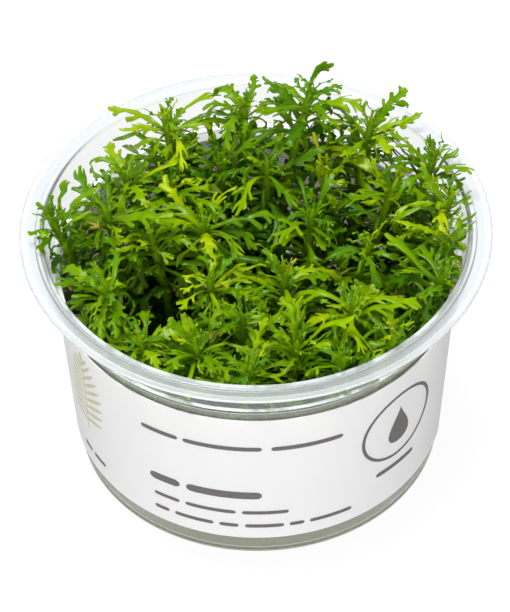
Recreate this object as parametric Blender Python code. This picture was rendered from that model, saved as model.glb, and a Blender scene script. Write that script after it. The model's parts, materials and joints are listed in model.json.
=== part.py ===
"""Giant ambulia from tissue culture, in the clear cup it is grown and sold in.

Blender 4.5, metres, +Z up. The origin is the centre of the foot ring, on the surface that the cup stands
on, and the front of the cup faces -Y. Sizes below are in millimetres and MM turns them into metres.

Pieces: the moulded cup, the paper band round it, the pad of nutrient gel in its floor, and the shoots that
stand in sockets in the gel. Each shoot is one closed solid, a six-sided stem whose faces are drawn out
into lobed leaves, whorl by whorl. A leaf that would touch another piece is turned, pitched or shortened
until it is clear, and is left off where nothing fits.
"""
import math
import random
from collections import namedtuple

import bmesh
import bpy
from mathutils import Vector
from mathutils.bvhtree import BVHTree

MM = 0.001
GAP = 0.3
UP = Vector((0.0, 0.0, 1.0))

# The cup, turned round Z.
FACETS = 36
RIM_RADIUS = 37.5
CUP_HEIGHT = 44.0
BASE_RADIUS = 29.31
WALL = 0.55
WALL_SLOPE = 0.0718
FOOT_OUTER = 29.2
FOOT_INNER = 25.5
FOOT_RISE = 0.6
HEEL_HEIGHT = 0.4
SHOULDER_HEIGHT = 36.0
SHOULDER_STEP = 0.85
FLANGE_WIDTH = 3.8
FLANGE_THICKNESS = 0.5
GROOVE_OUTER = 36.2
GROOVE_INNER = 35.1
GROOVE_DEPTH = 0.2

# The paper band, open at the cup's right side. Angles run from the front towards +X.
BAND_LOW = 4.3
BAND_HIGH = 34.0
BAND_THICKNESS = 0.2
BAND_START = 104.0
BAND_SWEEP = 332.0
BAND_STEPS = 36

# The gel, with a raised edge where it wets the wall.
GEL_TOP = 10.0
GEL_EDGE = 0.5
GEL_EDGE_WIDTH = 1.5
SOCKET_DEPTH = 3.0

# Stems. A foot stands nearer the axis than its crown, and the stem is upright below its knee.
STEM_SIDES = 6
STEM_RADIUS = 0.8
FOOT_SWELL = 1.1
STEM_TAPER = 0.25
NODE_HEIGHT = 0.9
BUD_HEIGHT = 2.2
FOOT_PULL = 0.8
KNEE_SHARE = 0.55

# Leaves: the section at the root, the share of a leaf that counts as its base, and how far leaves keep from
# other pieces, the wall, the gel and the height of their own crown.
ROOT_HALF_WIDTH = 0.45
ROOT_HALF_THICKNESS = 0.4
BASE_SHARE = 0.17
ATTEMPTS = 12
CLEARANCE = 0.16
WALL_CLEARANCE = 0.4
GEL_CLEARANCE = 1.5
RISE_ABOVE_CROWN = 5.6
SEED = 17

# Forms of leaf, for a length of 11 mm. Each ring is a share of the length, half width and half thickness,
# and each pair of lobes is the stretch between rings that it grows from, a share of the length and a reach.
FORM_LENGTH = 11.0
FORMS = {
    "parted": (((0.24, 0.55, 0.30), (0.58, 0.80, 0.24)), ((1, 0.62, 2.3), (2, 0.84, 1.9))),
    "cleft": (((0.45, 0.75, 0.26),), ((1, 0.70, 2.2),)),
}

# How a habit holds its leaves: rise from level at the root and turn down along the leaf, in degrees, and
# length in millimetres. A negative turn curls the leaf up and in.
HABITS = {
    "star": ((8.0, 55.0), (30.0, 110.0), (9.0, 13.0)),
    "fan": ((25.0, 68.0), (15.0, 100.0), (8.0, 11.5)),
    "upright": ((50.0, 80.0), (5.0, 60.0), (7.5, 11.0)),
    "curly": ((40.0, 75.0), (90.0, 160.0), (7.0, 10.0)),
}

# Crown of each shoot (x, y, z), how far its foot stands from the spot under the crown (x, y), and habit.
SHOOTS = (
    ((-14.2, 21.0, 47.6), (0.0, -1.5), "fan"),
    ((-1.5, 23.0, 48.6), (-1.0, 0.0), "curly"),
    ((9.0, 22.4, 51.2), (-4.5, -3.0), "star"),
    ((18.6, 20.0, 46.2), (0.0, 0.0), "fan"),
    ((28.6, 13.2, 45.4), (0.0, 0.0), "fan"),
    ((31.0, 5.4, 44.2), (0.0, 0.0), "fan"),
    ((22.2, 9.8, 43.0), (-1.0, 0.0), "star"),
    ((17.6, -3.2, 42.5), (0.0, 0.0), "curly"),
    ((29.4, -9.4, 42.2), (0.0, 0.0), "fan"),
    ((15.2, -15.8, 42.0), (0.0, 1.0), "star"),
    ((6.0, -23.0, 41.0), (0.0, 0.0), "upright"),
    ((-1.2, -27.4, 40.5), (0.0, 0.0), "fan"),
    ((-23.8, -11.2, 42.0), (0.5, 1.0), "star"),
    ((-32.2, 1.2, 45.0), (0.0, 0.0), "upright"),
    ((-23.8, 4.8, 43.4), (0.0, 0.0), "star"),
    ((-20.6, 12.8, 42.8), (0.0, 0.0), "fan"),
    ((-8.2, 3.8, 41.5), (0.0, 0.0), "star"),
    ((-13.6, 11.4, 42.0), (0.0, 0.0), "star"),
    ((2.0, 14.6, 43.5), (0.0, 0.0), "star"),
    ((-5.6, 16.8, 42.5), (0.0, 0.0), "upright"),
    ((9.0, 4.8, 41.5), (0.0, 0.0), "fan"),
    ((21.2, -21.6, 40.8), (0.0, 0.0), "curly"),
    ((-18.2, -20.4, 39.5), (0.0, 0.0), "star"),
    ((-9.6, -22.0, 40.0), (0.0, 0.0), "fan"),
    ((-7.4, -8.4, 40.5), (0.0, 0.0), "star"),
    ((4.4, -8.8, 41.0), (0.0, 0.0), "fan"),
    ((11.6, 12.6, 43.0), (0.0, 0.0), "upright"),
    ((-2.4, -16.8, 41.0), (0.0, 0.0), "star"),
    ((-16.8, 1.0, 42.0), (0.0, 0.0), "fan"),
    ((31.0, -2.2, 43.4), (0.0, 0.0), "fan"),
    ((13.2, -25.4, 40.0), (0.0, 0.0), "fan"),
)

# Gaps in the foliage that stay open from the rim down, as low and high corners.
OPENINGS = (
    ((-18.8, -10.2, 20.0), (-12.8, -4.6, 47.0)),
    ((15.4, 0.6, 20.0), (20.6, 5.4, 47.0)),
)

# Each whorl's distance below the crown, how many of the stem's faces carry a leaf there, and its form.
WHORLS = ((1.2, 5, "parted"), (6.8, 4, "cleft"))

Leaf = namedtuple("Leaf", "shoot whorl face root azimuth rise droop length twist lead sway")


def wall_radius(z):
    """Outer radius of the cup's cone at height z."""
    return BASE_RADIUS + WALL_SLOPE * (z - HEEL_HEIGHT)


def room_radius(z):
    """How far from the axis foliage may reach at height z: to the wall, or out over the rim above it."""
    if z > CUP_HEIGHT + 1.5:
        return RIM_RADIUS - 1.0
    if z > SHOULDER_HEIGHT + 1.0:
        step_radius = wall_radius(SHOULDER_HEIGHT) + SHOULDER_STEP - WALL
        climb = min(1.0, (z - SHOULDER_HEIGHT) / (CUP_HEIGHT - SHOULDER_HEIGHT))
        return step_radius + (RIM_RADIUS - FLANGE_WIDTH - step_radius) * climb - WALL_CLEARANCE
    return wall_radius(z) - WALL - WALL_CLEARANCE


def cup_profile():
    """The cup's section from the middle of its underside, up the outside and down the inside."""
    step_radius = wall_radius(SHOULDER_HEIGHT) + SHOULDER_STEP
    flange_inner = RIM_RADIUS - FLANGE_WIDTH
    flange_low = CUP_HEIGHT - FLANGE_THICKNESS
    outside = [
        (FOOT_INNER - 1.0, FOOT_RISE),
        (FOOT_INNER, 0.0),
        (FOOT_OUTER, 0.0),
        (BASE_RADIUS, HEEL_HEIGHT),
        (wall_radius(SHOULDER_HEIGHT), SHOULDER_HEIGHT),
        (step_radius, SHOULDER_HEIGHT + 0.1),
        (flange_inner + WALL, flange_low),
        (RIM_RADIUS - 0.45, flange_low),
        (RIM_RADIUS, CUP_HEIGHT - 0.2),
        (RIM_RADIUS - 0.15, CUP_HEIGHT),
    ]
    top = [
        (GROOVE_OUTER + 0.2, CUP_HEIGHT),
        (GROOVE_OUTER, CUP_HEIGHT - GROOVE_DEPTH),
        (GROOVE_INNER, CUP_HEIGHT - GROOVE_DEPTH),
        (GROOVE_INNER - 0.2, CUP_HEIGHT),
        (flange_inner, CUP_HEIGHT),
    ]
    inside = [
        (step_radius - WALL, SHOULDER_HEIGHT + 0.1 + WALL),
        (wall_radius(SHOULDER_HEIGHT) - WALL, SHOULDER_HEIGHT + WALL),
        (BASE_RADIUS - WALL, HEEL_HEIGHT + WALL),
        (FOOT_OUTER - 0.65, WALL + 0.15),
        (FOOT_INNER + 0.3, WALL + 0.15),
        (FOOT_INNER - 0.8, FOOT_RISE + WALL),
    ]
    return outside + top + inside


def ring_points(radius, z, count):
    """Points of a level circle, counter-clockwise seen from above."""
    return [
        Vector((radius * math.cos(turn), radius * math.sin(turn), z))
        for turn in (2.0 * math.pi * k / count for k in range(count))
    ]


def centre_of(points):
    return sum(points, Vector()) / len(points)


def skin(rings):
    """Points and quads of a tube through rings of equal length."""
    count = len(rings[0])
    points = [point for ring in rings for point in ring]
    faces = []
    for level in range(len(rings) - 1):
        low, high = level * count, (level + 1) * count
        for k in range(count):
            following = (k + 1) % count
            faces.append((low + k, low + following, high + following, high + k))
    return points, faces


def turned_solid(profile):
    """A closed solid of revolution from a section that starts and ends beside the axis."""
    points, faces = skin([ring_points(radius, z, FACETS) for radius, z in profile])
    last = len(points) - FACETS
    for start, z, outward_down in ((0, profile[0][1], True), (last, profile[-1][1], False)):
        centre = len(points)
        points.append(Vector((0.0, 0.0, z)))
        for k in range(FACETS):
            edge = (start + k, start + (k + 1) % FACETS)
            faces.append((edge[1], edge[0], centre) if outward_down else (edge[0], edge[1], centre))
    return points, faces


def band_solid():
    """The paper band, a flat strip bent round the cone."""
    sections = []
    for step in range(BAND_STEPS + 1):
        turn = math.radians(BAND_START + BAND_SWEEP * step / BAND_STEPS)
        outward = Vector((math.sin(turn), -math.cos(turn), 0.0))
        low = wall_radius(BAND_LOW) + GAP
        high = wall_radius(BAND_HIGH) + GAP
        sections.append([
            outward * low + UP * BAND_LOW,
            outward * (low + BAND_THICKNESS) + UP * BAND_LOW,
            outward * (high + BAND_THICKNESS) + UP * BAND_HIGH,
            outward * high + UP * BAND_HIGH,
        ])
    points, faces = skin(sections)
    faces = [tuple(reversed(face)) for face in faces]
    last = len(points) - 4
    faces.append((0, 1, 2, 3))
    faces.append((last + 3, last + 2, last + 1, last))
    return points, faces


def stem_axis(index, share):
    """A point of a shoot's axis, from its foot in the gel (0) to its crown (1), and the direction there."""
    crown, lean, _ = SHOOTS[index]
    top = Vector(crown)
    foot = Vector((
        crown[0] * FOOT_PULL + lean[0],
        crown[1] * FOOT_PULL + lean[1],
        GEL_TOP - SOCKET_DEPTH + GAP,
    ))
    knee = Vector((foot.x, foot.y, foot.z + KNEE_SHARE * (top.z - foot.z)))
    point = foot * (1 - share) ** 2 + knee * 2 * share * (1 - share) + top * share ** 2
    ahead = (knee - foot) * (1 - share) + (top - knee) * share
    return point, ahead.normalized()


def stem_shares(index):
    """Where along a shoot's axis its rings lie: the foot and both ends of each whorl's node."""
    length = SHOOTS[index][0][2] - GEL_TOP + SOCKET_DEPTH
    shares = [0.0]
    for depth, _, _ in reversed(WHORLS):
        shares.append(1.0 - (depth + NODE_HEIGHT) / length)
        shares.append(1.0 - depth / length)
    return shares


def stem_rings(index, grow=0.0):
    """Six-sided rings up the stem, thinner towards the crown."""
    turn0 = random.Random(SEED * 100 + index).uniform(0.0, math.pi / 3)
    rings = []
    for share in stem_shares(index):
        centre, ahead = stem_axis(index, share)
        side = ahead.cross(Vector((0.0, 1.0, 0.0))).normalized()
        front = ahead.cross(side)
        radius = STEM_RADIUS * (FOOT_SWELL - STEM_TAPER * share) + grow
        rings.append([
            centre + (side * math.cos(turn) + front * math.sin(turn)) * radius
            for turn in (turn0 + 2.0 * math.pi * k / STEM_SIDES for k in range(STEM_SIDES))
        ])
    return rings


def stem_solid(index, grow=0.0):
    """A shoot's bare stem: its side faces ring by ring, then the foot and the pointed bud."""
    rings = stem_rings(index, grow)
    points, faces = skin(rings)
    faces.append(tuple(reversed(range(STEM_SIDES))))
    crown, ahead = stem_axis(index, 1.0)
    top, bud = len(points) - STEM_SIDES, len(points)
    points.append(crown + ahead * (BUD_HEIGHT + grow))
    for k in range(STEM_SIDES):
        faces.append((top + k, top + (k + 1) % STEM_SIDES, bud))
    return points, faces


def whorl_ring(whorl):
    """Number of the stem ring at the lower end of a whorl's node."""
    return 1 + 2 * (len(WHORLS) - 1 - whorl)


def leaf_frame(leaf, share):
    """Centre of a leaf's midrib and its along, across and upper directions, on the arc that it bends in."""
    heading = leaf.azimuth + leaf.sway * share / 2.0
    outward = Vector((math.cos(heading), math.sin(heading), 0.0))
    pitch = leaf.rise - leaf.droop * share
    out = (math.sin(leaf.rise) - math.sin(pitch)) / leaf.droop
    high = (math.cos(pitch) - math.cos(leaf.rise)) / leaf.droop
    along = outward * math.cos(pitch) + UP * math.sin(pitch)
    level = UP.cross(outward)
    tilt = leaf.twist * share
    across = level * math.cos(tilt) + along.cross(level) * math.sin(tilt)
    return leaf.root + (outward * out + UP * high) * leaf.length, along, across, along.cross(across)


def leaf_ring(leaf, share, half_width, half_thickness):
    """Four corners of the leaf's section: lower left, lower right, upper right, upper left."""
    centre, _, across, upper = leaf_frame(leaf, share)
    wide, thick = across * half_width, upper * half_thickness
    return [centre - wide - thick, centre + wide - thick, centre + wide + thick, centre - wide + thick]


def leaf_shell(leaf, root, grow=0.0):
    """Points and faces of a leaf beyond its root section, which points 0 to 3 repeat."""
    rings, pairs = FORMS[WHORLS[leaf.whorl][2]]
    size = leaf.length / FORM_LENGTH
    points = list(root)
    for share, half_width, half_thickness in rings:
        points += leaf_ring(leaf, share, half_width * size + grow, half_thickness + grow)
    tip = len(points)
    points.append(leaf_frame(leaf, 1.0 + grow / leaf.length)[0])
    lobes = {}
    for stretch, share, reach in pairs:
        lobes[stretch, 1] = (share + leaf.lead, reach)
        lobes[stretch, 3] = (share - leaf.lead, -reach)
    faces = []
    for stretch in range(len(rings) + 1):
        for side in range(4):
            near = [stretch * 4 + side, stretch * 4 + (side + 1) % 4]
            outline = near + ([near[1] + 4, near[0] + 4] if stretch < len(rings) else [tip])
            if (stretch, side) not in lobes:
                faces.append(tuple(outline))
                continue
            share, reach = lobes[stretch, side]
            centre, _, across, _ = leaf_frame(leaf, share)
            apex = len(points)
            points.append(centre + across * (reach * size + math.copysign(grow, reach)))
            for k, corner in enumerate(outline):
                faces.append((corner, outline[(k + 1) % len(outline)], apex))
    return points, faces


def bounds_of(points):
    return (
        Vector(min(point[axis] for point in points) for axis in range(3)),
        Vector(max(point[axis] for point in points) for axis in range(3)),
    )


class Obstacle:
    """A closed shape that leaves keep clear of."""

    def __init__(self, points, faces, shoot=None):
        self.low, self.high = bounds_of(points)
        self.tree = BVHTree.FromPolygons(points, faces)
        self.shoot = shoot

    def meets(self, other):
        apart = any(self.low[a] > other.high[a] or other.low[a] > self.high[a] for a in range(3))
        return not apart and bool(self.tree.overlap(other.tree))


def leaf_obstacle(leaf, start, grow):
    """The leaf from a share of its length outward, closed at the cut."""
    root = leaf_ring(leaf, start, ROOT_HALF_WIDTH + grow, ROOT_HALF_THICKNESS + grow)
    points, faces = leaf_shell(leaf, root, grow)
    return Obstacle(points, faces + [(3, 2, 1, 0)], leaf.shoot)


def leaf_base(leaf):
    """The first part of a leaf as a plain stub, kept clear of by other shoots' leaves alone."""
    near = leaf_ring(leaf, 0.0, ROOT_HALF_THICKNESS, ROOT_HALF_WIDTH)
    far = leaf_ring(leaf, BASE_SHARE, ROOT_HALF_WIDTH, ROOT_HALF_THICKNESS)
    points = near + far
    faces = [(0, 1, 2, 3), (7, 6, 5, 4)]
    faces += [(k, (k + 1) % 4, (k + 1) % 4 + 4, k + 4) for k in range(4)]
    return points, faces, leaf.shoot


def open_side(index, low, high):
    """The face of an opening's column that best parts it from a shoot: axis, sign and place."""
    crown, foot = stem_axis(index, 1.0)[0], stem_axis(index, 0.0)[0]
    choices = []
    for axis in (0, 1):
        choices.append((min(crown[axis], foot[axis]) - high[axis], axis, 1, high[axis]))
        choices.append((low[axis] - max(crown[axis], foot[axis]), axis, -1, low[axis]))
    return max(choices)[1:]


def in_room(leaf):
    """Whether the leaf stays inside the cup, above the gel and out of the openings' columns."""
    points, _ = leaf_shell(leaf, leaf_ring(leaf, 0.05, ROOT_HALF_WIDTH, ROOT_HALF_THICKNESS), CLEARANCE)
    for point in points:
        if point.z < GEL_TOP + GEL_CLEARANCE or math.hypot(point.x, point.y) > room_radius(point.z):
            return False
        if point.z > SHOOTS[leaf.shoot][0][2] + RISE_ABOVE_CROWN:
            return False
    for low, high in OPENINGS:
        axis, sign, place = open_side(leaf.shoot, low, high)
        if any((point[axis] - place) * sign < GAP for point in points):
            return False
    return True


def planned_leaf(index, whorl, face, rings, dice, attempt):
    """A leaf for one face of a whorl's node, further from its habit with each attempt."""
    rise, droop, length = HABITS[SHOOTS[index][2]]
    low = whorl_ring(whorl)
    corners = [rings[low][face], rings[low][(face + 1) % STEM_SIDES],
               rings[low + 1][(face + 1) % STEM_SIDES], rings[low + 1][face]]
    root = centre_of(corners)
    outward = root - centre_of(rings[low] + rings[low + 1])
    ease = min(1.0, 0.15 + attempt / 10.0)
    lower_whorl = 12.0 if whorl else 0.0
    return Leaf(
        index, whorl, face, root,
        math.atan2(outward.y, outward.x) + math.radians(dice.uniform(-26.0, 26.0) * max(0.5, ease)),
        math.radians(dice.uniform(*rise) - lower_whorl + dice.uniform(-15.0, 45.0) * max(0.0, ease - 0.4)),
        math.radians(dice.uniform(*droop)),
        dice.uniform(*length) * (1.0 - 0.42 * max(0.0, ease - 0.2)),
        math.radians(dice.uniform(-22.0, 22.0)),
        dice.uniform(-0.05, 0.05),
        math.radians(dice.uniform(-50.0, 50.0)),
    )


def grow_leaves(obstacles):
    """Every leaf that fits, upper whorls of all the shoots first."""
    leaves = []
    for whorl, (_, wanted, _) in enumerate(WHORLS):
        for index in range(len(SHOOTS)):
            dice = random.Random(SEED + 1000 * whorl + index)
            rings = stem_rings(index)
            faces = list(range(STEM_SIDES))
            dice.shuffle(faces)
            grown = 0
            for face in faces:
                for attempt in range(ATTEMPTS):
                    if grown == wanted:
                        break
                    leaf = planned_leaf(index, whorl, face, rings, dice, attempt)
                    if not in_room(leaf):
                        continue
                    whole = leaf_obstacle(leaf, 0.03, CLEARANCE)
                    outer = leaf_obstacle(leaf, BASE_SHARE, CLEARANCE)
                    if any((outer if item.shoot == index else whole).meets(item) for item in obstacles):
                        continue
                    leaves.append(leaf)
                    grown += 1
                    obstacles.append(leaf_obstacle(leaf, BASE_SHARE, 0.0))
                    obstacles.append(Obstacle(*leaf_base(leaf)))
                    break
    return leaves


def shoot_solid(index, leaves):
    """One shoot: the stem with its bud, and its leaves drawn out of the node faces."""
    points, walls = stem_solid(index)
    carriers = {whorl_ring(leaf.whorl) * STEM_SIDES + leaf.face: leaf for leaf in leaves}
    faces = []
    for number, wall in enumerate(walls):
        if number not in carriers:
            faces.append(wall)
            continue
        shell_points, shell_faces = leaf_shell(carriers[number], [points[corner] for corner in wall])
        shift = len(points) - 4
        points += shell_points[4:]
        for face in shell_faces:
            faces.append(tuple(wall[corner] if corner < 4 else corner + shift for corner in face))
    return points, faces


def gel_profile():
    floor = FOOT_RISE + WALL + GAP
    inset = WALL + GAP
    return [
        (wall_radius(floor) - inset - 1.4, floor),
        (wall_radius(GEL_TOP + GEL_EDGE) - inset, GEL_TOP + GEL_EDGE),
        (wall_radius(GEL_TOP) - inset - GEL_EDGE_WIDTH, GEL_TOP),
    ]


def socket_solid(index):
    """The hole in the gel that a stem stands in, with a gap all round."""
    foot, above = stem_rings(index, GAP)[:2]
    slant = (centre_of(above) - centre_of(foot)).normalized()
    bottom = [point - UP * GAP for point in foot]
    top = [point + slant * (SOCKET_DEPTH + GEL_EDGE) for point in foot]
    points, faces = skin([bottom, top])
    faces.append(tuple(reversed(range(STEM_SIDES))))
    faces.append(tuple(range(STEM_SIDES, 2 * STEM_SIDES)))
    return points, faces


def material(name, colour, roughness, alpha=1.0):
    made = bpy.data.materials.new(name)
    made.use_nodes = True
    shader = made.node_tree.nodes["Principled BSDF"]
    shader.inputs["Base Color"].default_value = (*colour, 1.0)
    shader.inputs["Roughness"].default_value = roughness
    shader.inputs["Metallic"].default_value = 0.0
    shader.inputs["Alpha"].default_value = alpha
    made.diffuse_color = (*colour, alpha)
    return made


def piece(name, points, faces, finish, crease=40.0):
    """An object at the origin from millimetre points, its faces turned outward."""
    mesh = bpy.data.meshes.new(name)
    mesh.from_pydata([point * MM for point in points], [], faces)
    shape = bmesh.new()
    shape.from_mesh(mesh)
    bmesh.ops.recalc_face_normals(shape, faces=shape.faces)
    shape.to_mesh(mesh)
    shape.free()
    mesh.shade_smooth()
    mesh.set_sharp_from_angle(angle=math.radians(crease))
    mesh.materials.append(finish)
    made = bpy.data.objects.new(name, mesh)
    bpy.context.scene.collection.objects.link(made)
    return made


def cut_sockets(gel):
    """Opens a socket in the gel for each stem."""
    points, faces = [], []
    for index in range(len(SHOOTS)):
        hole_points, hole_faces = socket_solid(index)
        shift = len(points)
        points += hole_points
        faces += [tuple(corner + shift for corner in face) for face in hole_faces]
    cutter = piece("socket_cutter", points, faces, gel.data.materials[0])
    cutter.hide_render = True
    cutter.display_type = "WIRE"
    cut = gel.modifiers.new("sockets", "BOOLEAN")
    cut.operation = "DIFFERENCE"
    cut.object = cutter
    cut.solver = "EXACT"


def main():
    for old in list(bpy.data.objects):
        bpy.data.objects.remove(old)
    cup_points, cup_faces = turned_solid(cup_profile())
    piece("tub", cup_points, cup_faces, material("clear_polypropylene", (0.92, 0.95, 0.95), 0.12, 0.3))
    piece("label", *band_solid(), material("label_paper", (0.93, 0.93, 0.92), 0.55))
    gel = piece("gel", *turned_solid(gel_profile()), material("nutrient_gel", (0.45, 0.5, 0.36), 0.25))
    cut_sockets(gel)
    obstacles = [Obstacle(cup_points, cup_faces)]
    for index in range(len(SHOOTS)):
        obstacles.append(Obstacle(*stem_solid(index, CLEARANCE), index))
    leaves = grow_leaves(obstacles)
    green = material("shoot_green", (0.16, 0.36, 0.03), 0.35)
    for index in range(len(SHOOTS)):
        own = [leaf for leaf in leaves if leaf.shoot == index]
        piece(f"shoot_{index + 1:02d}", *shoot_solid(index, own), green)


main()
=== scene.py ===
"""The looks of giant ambulia raised in vitro, in its clear culture cup.

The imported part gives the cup, the paper band, the gel and the shoots with their main leaves. Here each of
them gets its finished mesh and material. The foliage grows from the same sizes, crowns and chances as the
part's solids, so that every main leaf lies where its solid does, and then goes on with the finer leaves
between them. Sizes are in millimetres and MM turns them into metres; the cup faces -Y.
"""

import json
import math
import random
from collections import namedtuple

import bmesh
import bpy
from mathutils import Matrix, Vector
from mathutils.bvhtree import BVHTree

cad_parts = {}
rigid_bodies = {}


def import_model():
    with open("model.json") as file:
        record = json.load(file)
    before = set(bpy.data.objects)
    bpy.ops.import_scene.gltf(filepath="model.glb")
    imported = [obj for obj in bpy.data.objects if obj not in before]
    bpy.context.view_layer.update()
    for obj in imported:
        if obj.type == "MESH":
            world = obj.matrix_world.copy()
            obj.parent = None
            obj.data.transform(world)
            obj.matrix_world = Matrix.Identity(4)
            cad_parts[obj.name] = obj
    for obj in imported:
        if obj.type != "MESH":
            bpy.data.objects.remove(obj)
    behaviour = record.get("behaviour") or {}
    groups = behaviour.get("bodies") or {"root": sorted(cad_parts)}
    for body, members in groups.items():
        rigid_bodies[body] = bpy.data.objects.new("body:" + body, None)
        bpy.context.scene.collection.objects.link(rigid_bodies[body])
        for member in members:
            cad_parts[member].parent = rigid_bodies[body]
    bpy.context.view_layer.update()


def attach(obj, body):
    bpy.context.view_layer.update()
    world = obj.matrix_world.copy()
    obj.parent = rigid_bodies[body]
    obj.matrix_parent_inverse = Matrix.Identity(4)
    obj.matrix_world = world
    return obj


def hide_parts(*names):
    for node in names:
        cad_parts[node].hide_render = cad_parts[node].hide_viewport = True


MM = 0.001
GAP = 0.3
UP = Vector((0.0, 0.0, 1.0))
FULL_TURN = 2.0 * math.pi

# The cup, turned round Z.
FACETS = 36
RIM_RADIUS = 37.5
CUP_HEIGHT = 44.0
BASE_RADIUS = 29.31
WALL = 0.55
WALL_SLOPE = 0.0718
FOOT_OUTER = 29.2
FOOT_INNER = 25.5
FOOT_RISE = 0.6
HEEL_HEIGHT = 0.4
SHOULDER_HEIGHT = 36.0
SHOULDER_STEP = 0.85
FLANGE_WIDTH = 3.8
FLANGE_THICKNESS = 0.5
GROOVE_OUTER = 36.2
GROOVE_INNER = 35.1
GROOVE_DEPTH = 0.2
GROOVE_SLOPE = 0.2
SMOOTH_FACETS = 216
CORNER_RADIUS = 0.3

# The paper band, open at the cup's right side. Angles run from the front towards +X.
BAND_LOW = 4.3
BAND_HIGH = 34.0
BAND_THICKNESS = 0.2
BAND_START = 104.0
BAND_SWEEP = 332.0
BAND_COLUMNS = 166
BAND_ROWS = 10

# The gel, with a raised edge where it wets the wall.
GEL_TOP = 10.0
GEL_EDGE = 0.5
GEL_EDGE_WIDTH = 1.5
SOCKET_DEPTH = 3.0
WETTING_GAP = 0.03
GEL_ROUNDING = 0.6

# Stems. A foot stands nearer the axis than its crown, and the stem is upright below its knee.
STEM_SIDES = 6
STEM_RADIUS = 0.8
FOOT_SWELL = 1.1
STEM_TAPER = 0.25
STEM_STEPS = 26
NODE_HEIGHT = 0.9
BUD_HEIGHT = 2.2
FOOT_PULL = 0.8
KNEE_SHARE = 0.55

# Main leaves: the section at the root, the share of a leaf that counts as its base, and how far leaves keep
# from other pieces, the wall and the gel. They rise no more than so far above their own crown, and lean out
# over the rim only from a height above it.
ROOT_HALF_WIDTH = 0.45
ROOT_HALF_THICKNESS = 0.4
BASE_SHARE = 0.17
ATTEMPTS = 12
CLEARANCE = 0.16
WALL_CLEARANCE = 0.4
GEL_CLEARANCE = 1.5
RIM_CLEARANCE = 1.0
LEAN_HEIGHT = 1.5
RISE_ABOVE_CROWN = 5.6
SEED = 17

# How far a main leaf strays from its face and its habit: degrees aside, of twist and of sway, and how far
# one lobe of a pair leads the other. The lower whorl is flatter by some degrees. Later attempts may change
# the rise and take a share off the length.
ASIDE = 26.0
TWIST = 22.0
SWAY = 50.0
LOBE_LEAD = 0.05
LOWER_FLATTER = 12.0
LATE_RISE = (-15.0, 45.0)
LATE_SHORTER = 0.42

# Plain forms of leaf, for a length of 11 mm. Each ring is a share of the length, half width and half
# thickness, and each pair of lobes is the stretch between rings that it grows from, a share and a reach.
FORM_LENGTH = 11.0
FORMS = {
    "parted": (((0.24, 0.55, 0.30), (0.58, 0.80, 0.24)), ((1, 0.62, 2.3), (2, 0.84, 1.9))),
    "cleft": (((0.45, 0.75, 0.26),), ((1, 0.70, 2.2),)),
}

# How a habit holds its leaves: rise from level at the root and turn down along the leaf, in degrees, and
# length in millimetres.
HABITS = {
    "star": ((8.0, 55.0), (30.0, 110.0), (9.0, 13.0)),
    "fan": ((25.0, 68.0), (15.0, 100.0), (8.0, 11.5)),
    "upright": ((50.0, 80.0), (5.0, 60.0), (7.5, 11.0)),
    "curly": ((40.0, 75.0), (90.0, 160.0), (7.0, 10.0)),
}

# Crown of each shoot (x, y, z), how far its foot stands from the spot under the crown (x, y), and habit.
SHOOTS = (
    ((-14.2, 21.0, 47.6), (0.0, -1.5), "fan"),
    ((-1.5, 23.0, 48.6), (-1.0, 0.0), "curly"),
    ((9.0, 22.4, 51.2), (-4.5, -3.0), "star"),
    ((18.6, 20.0, 46.2), (0.0, 0.0), "fan"),
    ((28.6, 13.2, 45.4), (0.0, 0.0), "fan"),
    ((31.0, 5.4, 44.2), (0.0, 0.0), "fan"),
    ((22.2, 9.8, 43.0), (-1.0, 0.0), "star"),
    ((17.6, -3.2, 42.5), (0.0, 0.0), "curly"),
    ((29.4, -9.4, 42.2), (0.0, 0.0), "fan"),
    ((15.2, -15.8, 42.0), (0.0, 1.0), "star"),
    ((6.0, -23.0, 41.0), (0.0, 0.0), "upright"),
    ((-1.2, -27.4, 40.5), (0.0, 0.0), "fan"),
    ((-23.8, -11.2, 42.0), (0.5, 1.0), "star"),
    ((-32.2, 1.2, 45.0), (0.0, 0.0), "upright"),
    ((-23.8, 4.8, 43.4), (0.0, 0.0), "star"),
    ((-20.6, 12.8, 42.8), (0.0, 0.0), "fan"),
    ((-8.2, 3.8, 41.5), (0.0, 0.0), "star"),
    ((-13.6, 11.4, 42.0), (0.0, 0.0), "star"),
    ((2.0, 14.6, 43.5), (0.0, 0.0), "star"),
    ((-5.6, 16.8, 42.5), (0.0, 0.0), "upright"),
    ((9.0, 4.8, 41.5), (0.0, 0.0), "fan"),
    ((21.2, -21.6, 40.8), (0.0, 0.0), "curly"),
    ((-18.2, -20.4, 39.5), (0.0, 0.0), "star"),
    ((-9.6, -22.0, 40.0), (0.0, 0.0), "fan"),
    ((-7.4, -8.4, 40.5), (0.0, 0.0), "star"),
    ((4.4, -8.8, 41.0), (0.0, 0.0), "fan"),
    ((11.6, 12.6, 43.0), (0.0, 0.0), "upright"),
    ((-2.4, -16.8, 41.0), (0.0, 0.0), "star"),
    ((-16.8, 1.0, 42.0), (0.0, 0.0), "fan"),
    ((31.0, -2.2, 43.4), (0.0, 0.0), "fan"),
    ((13.2, -25.4, 40.0), (0.0, 0.0), "fan"),
)

# Gaps in the foliage that stay open from the rim down, as low and high corners.
OPENINGS = (
    ((-18.8, -10.2, 20.0), (-12.8, -4.6, 47.0)),
    ((15.4, 0.6, 20.0), (20.6, 5.4, 47.0)),
)

# Each main whorl's distance below the crown, how many of its faces carry a leaf, and its plain form.
WHORLS = ((1.2, 5, "parted"), (6.8, 4, "cleft"))

Leaf = namedtuple("Leaf", "shoot whorl face root azimuth rise droop length twist lead sway")

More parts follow.
